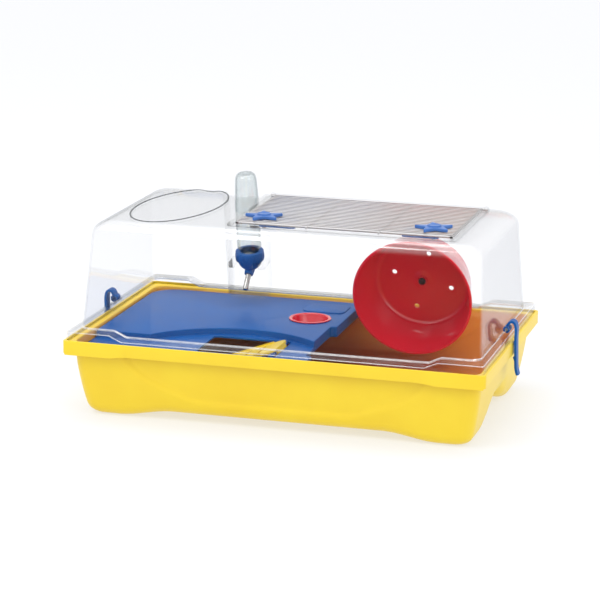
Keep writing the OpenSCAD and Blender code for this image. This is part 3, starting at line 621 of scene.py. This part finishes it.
def addRod(name, radius, start, end, sides=20, soft=0.3):
    start, end = Vector(start), Vector(end)
    along = end - start
    clearSelection()
    bpy.ops.mesh.primitive_cylinder_add(vertices=sides, radius=radius, depth=along.length,
                                        location=(start + end) / 2,
                                        rotation=along.to_track_quat("Z", "Y").to_euler())
    piece = nameNew(name)
    if soft:
        soften(piece, min(soft * mm, radius * 0.5), 2)
    return piece


def softBox(name, low, high, upright=0.0, soft=0.5):  # box with rounded corners and softened edges
    piece = addBox(name, low, high)
    if upright:
        roundPicked(piece, lambda p, e: rise(e) > 0.0005, upright * mm, 6)
    if soft:
        soften(piece, soft * mm, 3)
    return piece


def frameRing(name, x0, x1, y0, y1, z0, z1, width, soft):
    clearSelection()
    bpy.ops.mesh.primitive_plane_add(size=1, location=((x0 + x1) / 2, (y0 + y1) / 2, z0))
    ring = bpy.context.active_object
    ring.scale = (x1 - x0, y1 - y0, 1)
    ring = nameNew(name)
    openMesh(ring)
    selectAll()
    bpy.ops.mesh.bevel(offset=width * 0.8, segments=5, affect="VERTICES")
    bpy.ops.mesh.inset(thickness=width)
    bpy.ops.mesh.delete(type="FACE")
    selectAll()
    extrude((0, 0, z1 - z0))
    closeMesh()
    tidyMesh(ring)
    soften(ring, soft, 3)
    return ring


oval = {"x": -186, "y": 4, "halfX": 56, "halfY": 120, "turn": -4, "width": 2.4, "high": 0.8}
fittings = {"barX": 281, "barZ": 124, "barRadius": 2.5, "clipWidth": 15, "earGap": 1, "earWide": 3.5}


def roofDrop(p):  # how far the rounded edge of the roof lies under its flat top, in millimetres
    for turn in range(90, 0, -2):
        z = cover["roof"] - cover["roundZ"] * (1 - sin(radians(turn)))
        halfX, halfY = coverHalf(z)
        side = 1 - cos(radians(turn))
        if abs(p.x) <= halfX - cover["roundX"] * side and abs(p.y) <= halfY - cover["roundY"] * side:
            return (cover["roof"] - z) / mm
    return cover["roundZ"] / mm


def makeOval():
    clearSelection()
    bpy.ops.mesh.primitive_circle_add(vertices=128, radius=1, fill_type="NGON",
                                      location=(oval["x"] * mm, oval["y"] * mm, cover["roof"] - 0.1 * mm),
                                      rotation=(0, 0, radians(oval["turn"])))
    ring = bpy.context.active_object
    ring.scale = (oval["halfX"] * mm, oval["halfY"] * mm, 1)
    ring = nameNew("oval")
    openMesh(ring)
    selectAll()
    bpy.ops.mesh.inset(thickness=oval["width"] * mm)
    bpy.ops.mesh.delete(type="FACE")
    selectAll()
    extrude((0, 0, (oval["high"] + 0.1) * mm))
    closeMesh()
    tidyMesh(ring)
    soften(ring, 0.35 * mm, 2)
    drops = [roofDrop(vertex.co) for vertex in ring.data.vertices]
    most = max(drops + [1])
    pushBy(ring, lambda p: roofDrop(p) / most, "Z", -most * mm)
    line = ring.data.attributes.new("line", "FLOAT", "POINT")
    for spot in line.data:
        spot.value = 0.8
    return ring


def makeFittings():  # bezel, hinge blocks, oval, clip ears and cap ledges
    roof = cover["roof"]
    gap, width = 1.5 * mm, 7 * mm
    parts = [makeOval(), frameRing("bezel", door["x0"] - gap - width, door["x1"] + gap + width,
                                   door["y0"] - gap - width, door["y1"] + gap + width,
                                   roof - 0.2 * mm, roof + 3 * mm, width, 0.9 * mm)]
    for x in (door["x0"] - 4.5 * mm, door["x1"] + 4.5 * mm):
        parts.append(softBox("hingeBlock", (x - 2.5 * mm, 97.7 * mm, roof + 0.5 * mm),
                             (x + 2.5 * mm, 106.7 * mm, roof + 5.9 * mm), soft=0.8))
    for side in (-1, 1):
        x = side * fittings["barX"]
        for end in (-1, 1):
            y = end * (fittings["clipWidth"] / 2 + fittings["earGap"] + fittings["earWide"] / 2)
            ear = softBox("ear", ((x - 5) * mm, (y - 1.75) * mm, 116 * mm),
                          ((x + 5) * mm, (y + 1.75) * mm, 129 * mm), soft=0)
            roundPicked(ear, lambda p, e: p.z > 0.1285 and abs(e.verts[0].co.x - e.verts[1].co.x) < 0.001,
                        4.9 * mm, 8)
            soften(ear, 0.5 * mm, 2)
            parts.append(ear)
        parts.append(addRod("bar", fittings["barRadius"] * mm, (x * mm, -9 * mm, fittings["barZ"] * mm),
                            (x * mm, 9 * mm, fittings["barZ"] * mm)))
        tick = softBox("tick", (-1 * mm, (side * 178.2 - 2.5) * mm, 108.5 * mm),
                       (1 * mm, (side * 178.2 + 2.5) * mm, 111.5 * mm), soft=0.5)
        parts.append(tick)
        ledge = addBox("capLedge", (side * 18 * mm, -22 * mm, 10 * mm),
                       (side * 27.9 * mm, 8 * mm, 16 * mm))
        soften(ledge, 1 * mm, 3)
        placeBy(ledge, onBottle)
        parts.append(ledge)
    return parts



def makeCover():
    skin = makeCoverSkin()
    activate(skin)
    bpy.ops.object.duplicate()
    filled = nameNew("coverFilled")
    openMesh(filled)
    pick(filled, "EDGE", lambda p, e: e.is_boundary)
    bpy.ops.mesh.edge_face_add()
    closeMesh()
    modify(skin, "SOLIDIFY", thickness=cover["wall"], offset=-1, use_even_offset=True)
    half = niche["width"] / 2
    wall = cover["wall"]
    plug = addBox("plug", (-half, -niche["depth"], 0), (half, 0.06, 0.25))
    roundPicked(plug, lambda p, e: p.y < -0.02 and abs(abs(p.x) - half) < 0.001, 7 * mm, 5)
    placeBy(plug, onWall)
    liner = addBox("liner", (-half - wall, -niche["depth"] - wall, -wall), (half + wall, 0.06, 0.25))
    roundPicked(liner, lambda p, e: p.y < -0.02 and abs(abs(p.x) - half - wall) < 0.001,
                7 * mm + wall, 5)
    placeBy(liner, onWall)
    combine(liner, filled, "INTERSECT")
    combine(skin, liner, "UNION")
    combine(skin, plug, "DIFFERENCE")
    slot = addBox("slot", (-niche["slot"] / 2, -niche["depth"] - 8 * mm, 12 * mm),
                  (niche["slot"] / 2, -niche["depth"] + 3 * mm, 0.2))
    roundPicked(slot, lambda p, e: p.z < 0.02 and abs(abs(p.x) - niche["slot"] / 2) < 0.001, 7 * mm, 5)
    placeBy(slot, onWall)
    combine(skin, slot, "DIFFERENCE")
    opening = addBox("opening", (door["x0"] + door["seat"], door["y0"] + door["seat"], 0.24),
                     (door["x1"] - door["seat"], door["y1"] - door["seat"], 0.28))
    roundPicked(opening, lambda p, e: rise(e) > 0.01, 4 * mm, 4)
    combine(skin, opening, "DIFFERENCE")
    skin = joinAll([skin] + makeFittings())
    handIn(skin, 35, clearPS, "cover_clear", "cover", "dome_cover")


makeCover()
print("cover made")

shelf = {
    "x0": -275.7 * mm, "x1": 36 * mm, "halfY": 168 * mm,
    "top": 100 * mm, "low": 85 * mm, "wall": 2.2 * mm, "soft": 4 * mm,
    "rampBar": (-17 * mm, -82.5 * mm, 90 * mm),
    "radius": 38 * mm, "step": 91 * mm, "terraceY": -92 * mm, "arcX": -71.5 * mm, "arcY": -174 * mm,
    "arcRadius": 150 * mm, "hatch": (-121 * mm, -10 * mm, -125 * mm, -40 * mm), "notchY": 26 * mm,
    "bowl": (-12 * mm, 58.5 * mm), "bowlHole": 27 * mm,
}


def shelfForm(name, shrink, soft):  # the platform as a full block, smaller by shrink on every side
    x0, x1, hy = shelf["x0"] + shrink, shelf["x1"] - shrink, shelf["halfY"] - shrink
    low = shelf["low"] - (0.01 if shrink else 0)
    block = addBox(name, (x0, -hy, low), (x1, hy, shelf["top"] - shrink))
    openMesh(block)
    pick(block, "EDGE", lambda p, e: rise(e) > 0.005 and p.x < -0.1)
    bpy.ops.mesh.bevel(offset=shelf["radius"] - shrink, segments=14)
    pick(block, "EDGE", lambda p, e: rise(e) > 0.005 and p.x > 0)
    bpy.ops.mesh.bevel(offset=8 * mm, segments=5)
    closeMesh()
    bite = addBox("bite", (x1 - 9 * mm, -0.104 - shrink, 0.05),
                  (x1 + 0.05, shelf["notchY"] + shrink, 0.2))
    roundPicked(bite, lambda p, e: rise(e) > 0.05 and p.x < x1, 5 * mm, 5)
    combine(block, bite, "DIFFERENCE")
    terrace = addBox("terrace", (-0.4, -0.3, shelf["step"] - shrink),
                     (0.2, shelf["terraceY"] + shrink, 0.2))
    clearSelection()
    bpy.ops.mesh.primitive_cylinder_add(vertices=180, radius=shelf["arcRadius"] + shrink, depth=0.1,
                                        location=(shelf["arcX"], shelf["arcY"],
                                                  shelf["step"] - shrink + 0.05))
    arc = nameNew("arc")
    combine(terrace, arc, "UNION")
    combine(block, terrace, "DIFFERENCE")
    if soft:
        modify(block, "BEVEL", width=soft, segments=4, angle_limit=radians(40), use_clamp_overlap=True)
    return block


def makeShelf():
    block = shelfForm("platform", 0, shelf["soft"])
    inner = shelfForm("inner", shelf["wall"], 0)
    x0, x1, y0, y1 = shelf["hatch"]
    wall = shelf["wall"]
    keep = addBox("collar", (x0 - wall, y0 - wall, 0.089), (x1 + wall, y1 + wall, 0.2))
    combine(inner, keep, "DIFFERENCE")
    combine(block, inner, "DIFFERENCE")
    hatch = addBox("hatch", (x0, y0, 0.05), (x1, y1, 0.2))
    roundPicked(hatch, lambda p, e: rise(e) > 0.05, 6 * mm, 5)
    combine(block, hatch, "DIFFERENCE")
    clearSelection()
    bpy.ops.mesh.primitive_cylinder_add(vertices=96, radius=shelf["bowlHole"], depth=0.1,
                                        location=(*shelf["bowl"], shelf["top"]))
    combine(block, nameNew("bowlHole"), "DIFFERENCE")
    pad = softBox("pad", (-36 * mm, 96 * mm, 99 * mm), (26 * mm, 146 * mm, 101.6 * mm),
                  upright=12, soft=1.2)
    barX, _, barZ = shelf["rampBar"]
    bar = addRod("rampBar", 3 * mm, (barX, y0 - 0.5 * mm, barZ), (barX, y1 + 0.5 * mm, barZ))
    whole = joinAll([block, pad, bar])
    handIn(whole, 32, bluePP, "moulded_blue", "platform", "shelf_platform")


ramp = {"wide": 66, "thick": 3, "crest": 6.5, "run": 230.4, "angle": 20.55, "hook": 3.3, "slots": 9}


def makeRamp():
    hinge = Matrix.Translation(shelf["rampBar"])
    slope = hinge @ Matrix.Rotation(radians(-ramp["angle"]), 4, "Y")
    half = ramp["wide"] / 2 * mm
    top, thick, run = ramp["crest"] * mm, ramp["thick"] * mm, ramp["run"] * mm
    deck = addBox("deck", (-run, -half, top - thick), (7 * mm, half, top))
    roundPicked(deck, lambda p, e: rise(e) > 0.001 and p.x > 0, 15 * mm, 10)
    outer = ramp["hook"] * mm + thick
    ring = addRod("ring", outer, (0, 14 * mm - half, 0), (0, half - 14 * mm, 0), sides=48, soft=0)
    combine(deck, ring, "UNION")
    bore = addRod("bore", ramp["hook"] * mm, (0, -0.1, 0), (0, 0.1, 0), sides=48, soft=0)
    combine(deck, bore, "DIFFERENCE")
    combine(deck, addBox("mouth", (-3.3 * mm, -0.1, -0.02), (3.3 * mm, 0.1, 0)), "DIFFERENCE")
    for side in (-1, 1):
        low = min(side * half, side * (half - 3 * mm))
        rail = addBox("rail", (-run, low, top - thick / 2), (-14 * mm, low + 3 * mm, top + 1.6 * mm))
        combine(deck, rail, "UNION")
    for k in range(1, ramp["slots"] + 1):
        x = -run * k / (ramp["slots"] + 1)
        slot = softBox("slot", (x - 2 * mm, -half + 12 * mm, top - 0.02),
                       (x + 2 * mm, half - 12 * mm, top + 0.02), upright=1.9, soft=0)
        combine(deck, slot, "DIFFERENCE")
    soften(deck, 0.5 * mm, 2)
    placeBy(deck, slope)
    deck.name = "ramp_deck"
    handIn(deck, 35, yellowPP, "ramp_yellow", "ramp_body", "ramp")


onAxle = onWallAt(131 * mm, 151.5 * mm) @ Matrix.Rotation(radians(90), 4, "X")


def makeBowl():
    profile = [(0, -22), (15, -22), (18.7, -21.2), (20.7, -18), (26.5, -3), (26.7, 0.1), (29.2, 0.1),
               (30, 0.9), (29.6, 1.8), (26.6, 1.9), (25.2, 0.8), (24.6, -2.5), (19.2, -17.4),
               (17.6, -19.6), (14.6, -20.2), (0, -20.2)]
    bowl = spinProfile("bowl", profile, steps=96, soft=0.5, closed=False,
                       place=Matrix.Translation((*shelf["bowl"], shelf["top"])))
    handIn(bowl, 50, redPS, "moulded_red", "bowl", "food_bowl")


wheel = {"radius": 85.5, "disc": 71.5, "back": 10, "deep": 70, "wall": 2.4, "bend": 10,
         "vents": 4, "ventRadius": 3.5, "ventAt": 42, "ventTurn": -13}


def makeWheel():
    back, wall, bend = wheel["back"], wheel["wall"], wheel["bend"]
    front = back + wheel["deep"]
    slope = atan((wheel["radius"] - 2 - wheel["disc"]) / (wheel["deep"] - 3))
    bendX = wheel["disc"] - bend

    def arc(radius, turns):
        return [(bendX + radius * cos(a), back + bend + radius * sin(a)) for a in turns]

    turns = [-pi / 2 + (pi / 2 - slope) * k / 10 for k in range(11)]
    profile = [(3.1, back - 3), (6.4, back - 3), (7, back - 2.4), (7.2, back)]
    profile += arc(bend, turns)
    profile += [(83.5, front - 4.5), (84.2, front - 3.4), (85.3, front - 2.4), (85.5, front - 1.2),
                (84.9, front - 0.2), (83.6, front), (82.0, front - 0.3), (81.3, front - 1.6)]
    profile += arc(bend - wall, reversed(turns))
    profile += [(15.4, back + wall), (13.4, back + wall + 0.4), (9.6, back + 3.7), (7.3, back + 4),
                (7, back + 5.5), (6.5, back + 6), (3.1, back + 6)]
    dish = spinProfile("wheel", profile, steps=120, place=Matrix())
    for k in range(wheel["vents"]):
        turn = radians(wheel["ventTurn"] + 360 / wheel["vents"] * k)
        spot = (wheel["ventAt"] * cos(turn) * mm, wheel["ventAt"] * sin(turn) * mm)
        hole = addRod("vent", wheel["ventRadius"] * mm, (*spot, 0), (*spot, 0.04), sides=32, soft=0)
        combine(dish, hole, "DIFFERENCE")
    placeBy(dish, onAxle)
    handIn(dish, 40, redPS, "moulded_red", "wheel", "wheel_dish")


def makeAxle():
    axle = spinProfile("axle", [(0, -6), (2.5, -6), (3, -5.5), (3, 2), (11.6, 2), (12, 2.5), (12, 4.6),
                                (11.4, 5), (9.9, 5), (7.4, 6.4), (6.8, 6.7), (3, 6.7), (3, 15.5),
                                (2.5, 16), (0, 16)], place=onAxle, closed=False)
    handIn(axle, 35, blackPOM, "dark_plastic", "cover", "wheel_axle")
    low = 16.3
    cap = spinProfile("axleCap", [(0, low), (4.7, low), (5, low + 0.3), (5, low + 2.7), (4.6, low + 3.6),
                                  (3.4, low + 4.4), (0, low + 4.5)], place=onAxle, closed=False)
    handIn(cap, 35, blackPOM, "dark_plastic", "cover", "axle_cap")


spoutTurn = Matrix.Translation((0, 0, 4 * mm)) @ Matrix.Rotation(radians(128), 4, "X")
onSpout = onBottle @ spoutTurn


def makeBottle():
    shell = spinProfile("bottle", [
        (11.5, 22), (13.4, 22), (13.5, 30), (13.8, 31.4), (17.1, 35), (17.5, 37), (17.5, 99),
        (16.6, 118), (15.7, 134), (15.2, 140), (14.6, 143.6), (13.2, 146.4), (10.8, 148.4), (7.5, 149),
        (5.6, 148.2), (0, 147.6), (0, 146.6), (5.4, 147.1), (7.4, 147.8), (10.2, 147.2), (12.2, 145.4),
        (13.4, 143), (14.1, 139.6), (14.6, 133.6), (15.5, 117.6), (16.4, 98.6), (16.4, 37.6),
        (16, 36), (11.5, 32),
    ], steps=72, place=onBottle)
    handIn(shell, 40, clearPET, "bottle_clear", "bottle", "bottle_body")
    dome = [(17.4 * cos(a), 16 + 16 * sin(a)) for a in [-pi / 2 + pi / 2 * k / 10 for k in range(1, 11)]]
    cap = spinProfile("bottleCap", [(0, 0)] + dome + [
        (20.1, 16), (20.5, 16.6), (20.5, 28.8), (20, 29.8), (19, 30), (13.7, 30), (13.7, 20.2), (0, 20.2),
    ], steps=96, closed=False)
    ribs = []
    for k in range(24):
        turn = radians(15 * k)
        ribs.append(addRod("rib", 0.7 * mm, (20.3 * cos(turn) * mm, 20.3 * sin(turn) * mm, 18 * mm),
                           (20.3 * cos(turn) * mm, 20.3 * sin(turn) * mm, 26 * mm), sides=8))
    boss = spinProfile("boss", [
        (0, 0), (7.9, 0), (7.7, 1), (6.4, 12.2), (5.9, 13), (4.2, 13), (4.1, 6), (0, 6),
    ], steps=48, place=spoutTurn, closed=False)
    whole = joinAll([cap, boss] + ribs)
    placeBy(whole, onBottle)
    handIn(whole, 40, bluePP, "moulded_blue", "bottle", "bottle_cap")
    tube = spinProfile("spout", [
        (2.6, 2), (4, 2), (4, 35.6), (3.75, 37), (3.1, 37.9), (2.7, 37.6), (2.75, 36),
        (3.3, 35), (3.3, 26), (2.6, 25.6),
    ], place=onSpout)
    handIn(tube, 50, stainless, "spout_steel", "bottle", "spout_tube")


rods = {"radius": 1.8, "z": 263.8, "bend": 5, "hinge": 7, "cross": 1.5, "wire": 0.9, "wireZ": 266.0,
        "firstWire": -84.5, "pitch": 9, "wires": 21}


def startRing(name, radius, place, facing, sides=16):
    clearSelection()
    bpy.ops.mesh.primitive_circle_add(vertices=sides, radius=radius, location=place,
                                      rotation=Vector(facing).to_track_quat("Z", "Y").to_euler())
    return nameNew(name)


def makeDoor():
    r, z, bend = rods["radius"] * mm, rods["z"] * mm, rods["bend"] * mm
    x0, x1 = door["x0"] + r, door["x1"] - r
    y0, y1 = door["y0"] + r, door["y1"] - r
    loop = startRing("doorFrame", r, (x0, y1, z), (0, 1, 0))
    openMesh(loop)
    selectAll()
    extrude((0, y0 + bend - y1, 0))
    bpy.ops.mesh.spin(steps=8, angle=pi / 2, center=(x0 + bend, y0 + bend, z), axis=(0, 0, 1))
    extrude((x1 - x0 - 2 * bend, 0, 0))
    bpy.ops.mesh.spin(steps=8, angle=pi / 2, center=(x1 - bend, y0 + bend, z), axis=(0, 0, 1))
    extrude((0, y1 - y0 - bend, 0))
    closeMesh()
    tidyMesh(loop)
    hinge = addRod("hingeRod", r, (door["x0"] - rods["hinge"] * mm, y1, z),
                   (door["x1"] + rods["hinge"] * mm, y1, z), sides=16)
    whole = joinAll([loop, hinge])
    handIn(whole, 45, zincWire, "zinc_wire", "roof_door", "grille_frame")
    bars = []
    for k in (1, 2):
        x = door["x0"] + (door["x1"] - door["x0"]) * k / 3
        bars.append(addRod("crossbar", rods["cross"] * mm, (x, y0 + 1 * mm, z), (x, y1 - 1 * mm, z),
                           sides=14))
    whole = joinAll(bars)
    handIn(whole, 45, zincWire, "zinc_wire", "roof_door", "grille_crossbars")
    wires = []
    for k in range(rods["wires"]):
        y = (rods["firstWire"] + rods["pitch"] * k) * mm
        wires.append(addRod("wire", rods["wire"] * mm, (door["x0"] + 0.6 * mm, y, rods["wireZ"] * mm),
                            (door["x1"] - 0.6 * mm, y, rods["wireZ"] * mm), sides=10))
    whole = joinAll(wires)
    handIn(whole, 45, zincWire, "zinc_wire", "roof_door", "grille_wires")


star = {"tip": 29, "root": 12.6, "points": 5, "z": 267.4, "thick": 4.5, "tipRound": 4.5,
        "postLow": 255.3, "leftX": -44.5, "rightX": 190.5, "y": -62}


def makeLatch(side):
    x, y = (star["leftX"], star["rightX"])[side], star["y"]
    suffix = ("left", "right")[side]
    clearSelection()
    bpy.ops.mesh.primitive_circle_add(vertices=star["points"] * 2, radius=star["tip"] * mm,
                                      fill_type="NGON", location=(0, 0, star["z"] * mm),
                                      rotation=(0, 0, radians(90)))
    knob = nameNew("star_" + suffix)
    root = star["root"] / star["tip"]
    openMesh(knob)
    pick(knob, "VERT", lambda p, v: v.index % 2 == 1)
    bpy.ops.transform.resize(value=(root, root, 1), center_override=(0, 0, star["z"] * mm))
    pick(knob, "VERT", lambda p, v: v.index % 2 == 0)
    bpy.ops.mesh.bevel(offset=star["tipRound"] * mm, segments=6, affect="VERTICES")
    pick(knob, "VERT", lambda p, v: sqrt(p.x ** 2 + p.y ** 2) < (star["root"] + 0.4) * mm)
    bpy.ops.mesh.bevel(offset=2.5 * mm, segments=4, affect="VERTICES")
    selectAll()
    extrude((0, 0, star["thick"] * mm))
    closeMesh()
    tidyMesh(knob)
    soften(knob, 1.4 * mm, 4, 60)
    top = star["z"] + star["thick"]
    hub = spinProfile("hub", [
        (0, star["postLow"]), (3, star["postLow"]), (3, star["z"] + 1), (9.8, top - 0.5), (9.6, top + 0.8),
        (8.9, top + 1.8), (7.6, top + 2), (6.6, top + 1.4), (0, top + 1.1),
    ], steps=48, closed=False)
    knob = joinAll([knob, hub])
    placeBy(knob, Matrix.Translation((x * mm, y * mm, 0)))
    handIn(knob, 40, starPP, "knob_blue", "latch_" + suffix, "star_knob_" + suffix)
    tongue = softBox("tongue_" + suffix, (-6.8 * mm, -6 * mm, 255.3 * mm), (44 * mm, 6 * mm, 258.3 * mm),
                     upright=5.9, soft=0.5)
    placeBy(tongue, Matrix.Translation((x * mm, y * mm, 0)) @ Matrix.Rotation(pi * side, 4, "Z"))
    handIn(tongue, 40, bluePP, "moulded_blue", "latch_" + suffix, "latch_tongue_" + suffix)


clipPath = {
    "line": [(0.5, 3.5), (1.5, 7), (3.8, 10.2), (7, 11.4), (10, 10), (12, 6.5), (13, 0), (12.5, -10),
             (12.7, -22), (13.3, -37.5), (13.6, -52), (15.1, -59), (16.9, -64)],
    "wide": 15, "thick": 3.4, "hook": 4.9, "bore": 2.55,
}


def makeClip(side):
    suffix = ("left", "right")[side]
    half = clipPath["wide"] / 2 * mm
    clearSelection()
    bpy.ops.mesh.primitive_plane_add(size=0.001)
    strip = nameNew("clip_strip_" + suffix)
    openMesh(strip)
    selectAll()
    bpy.ops.mesh.merge(type="CENTER")
    x, z = clipPath["line"][0]
    bpy.ops.transform.translate(value=(x * mm, -half, z * mm))
    extrude((0, 2 * half, 0))
    selectAll()
    for nextX, nextZ in clipPath["line"][1:]:
        step = ((nextX - x) * mm, 0, (nextZ - z) * mm)
        extrude(step)
        x, z = nextX, nextZ
    closeMesh()
    modify(strip, "SUBSURF", levels=2, render_levels=2)
    modify(strip, "SOLIDIFY", thickness=clipPath["thick"] * mm, offset=0, use_even_offset=True)
    soften(strip, 0.8 * mm, 3)
    hook = addRod("hook", clipPath["hook"] * mm, (0, -half, 0), (0, half, 0), sides=40, soft=0.6)
    bore = addRod("bore", clipPath["bore"] * mm, (0, -0.1, 0), (0, 0.1, 0), sides=40, soft=0)
    combine(hook, bore, "DIFFERENCE")
    mouth = addBox("mouth", (-12 * mm, -0.1, -12 * mm), (-0.8 * mm, 0.1, -3 * mm))
    combine(hook, mouth, "DIFFERENCE")
    barb = addBox("barb", (9.9 * mm, -half + 0.6 * mm, -43.5 * mm),
                  (12.4 * mm, half - 0.6 * mm, -38 * mm))
    openMesh(barb)
    pick(barb, "VERT", lambda p, v: p.z < -0.04 and p.x < 0.011)
    bpy.ops.transform.translate(value=(2 * mm, 0, 0))
    closeMesh()
    whole = joinAll([hook, strip, barb])
    atBar = Matrix.Translation((fittings["barX"] * mm, 0, fittings["barZ"] * mm))
    placeBy(whole, Matrix.Scale(-1 if side == 0 else 1, 4, (1, 0, 0)) @ atBar)
    if side == 0:
        openMesh(whole)
        selectAll()
        bpy.ops.mesh.normals_make_consistent(inside=False)
        closeMesh()
    whole.name = "sideClip_" + suffix
    handIn(whole, 40, bluePP, "moulded_blue", "side_clip_" + suffix, "clip_" + suffix)


makeShelf()
makeRamp()
makeBowl()
print("platform, ramp and bowl made")
makeWheel()
makeAxle()
makeBottle()
print("wheel and bottle made")
makeDoor()
for side in (0, 1):
    makeLatch(side)
    makeClip(side)
print("door, latches and clips made")


def makeStage():
    clearSelection()
    bpy.ops.mesh.primitive_plane_add(size=12, location=(0, 1.5, -0.0004))
    floor = nameNew("floor")
    paper, tree = newMaterial("mattePaperSweep")
    skin = addNode(tree, "BsdfPrincipled", {
        "Base Color": (0.34, 0.35, 0.38, 1), "Roughness": 0.9,
        "Emission Color": (1, 1, 1, 1), "Emission Strength": 0.58})
    closeMaterial(tree, skin.outputs["BSDF"])
    floor.data.materials.append(paper)


def addLamp(name, place, aim, size, power):
    clearSelection()
    bpy.ops.object.light_add(type="AREA", location=place)
    lamp = bpy.context.active_object
    lamp.name = name
    lamp.data.shape = "RECTANGLE"
    lamp.data.size, lamp.data.size_y = size
    lamp.data.energy = power
    lamp.rotation_euler = (Vector(aim) - Vector(place)).to_track_quat("-Z", "Y").to_euler()


lamps = {  # place, aim, size and power
    "keyLamp": ((-1.2, -1.4, 2.2), (0, 0, 0.1), (1.6, 1.2), 18),
    "fillLamp": ((1.9, -1.2, 1.2), (0, 0, 0.12), (1.0, 1.4), 7),
    "topLamp": ((0.1, 0.5, 2.4), (0, 0, 0.1), (2.0, 1.4), 14),
}
view = {"lens": 147.53, "turn": 15.8, "rise": 13.8, "tip": 0.6, "distance": 3393.7,
        "target": (-10.6, 0, 141)}


def makeLight():
    for name, settings in lamps.items():
        addLamp(name, *settings)
    world = bpy.data.worlds.new("studioWorld")
    world.use_nodes = True
    bpy.context.scene.world = world
    back = world.node_tree.nodes["Background"]
    back.inputs["Color"].default_value = (1, 1, 1, 1)
    back.inputs["Strength"].default_value = 1.0


def makeCamera():
    data = bpy.data.cameras.new("studioCamera")
    data.lens = view["lens"]
    data.sensor_width = 36
    camera = bpy.data.objects.new("studioCamera", data)
    bpy.context.collection.objects.link(camera)
    turn, rises = radians(view["turn"]), radians(view["rise"])
    away = Vector((sin(turn) * cos(rises), -cos(turn) * cos(rises), sin(rises)))
    camera.location = Vector(view["target"]) * mm + away * view["distance"] * mm
    look = (-away).to_track_quat("-Z", "Y").to_matrix()
    camera.rotation_euler = (look @ Matrix.Rotation(radians(view["tip"]), 3, "Z")).to_euler()
    bpy.context.scene.camera = camera


makeStage()
makeLight()
makeCamera()
bpy.context.scene.view_settings.view_transform = "Standard"
print("stage made")
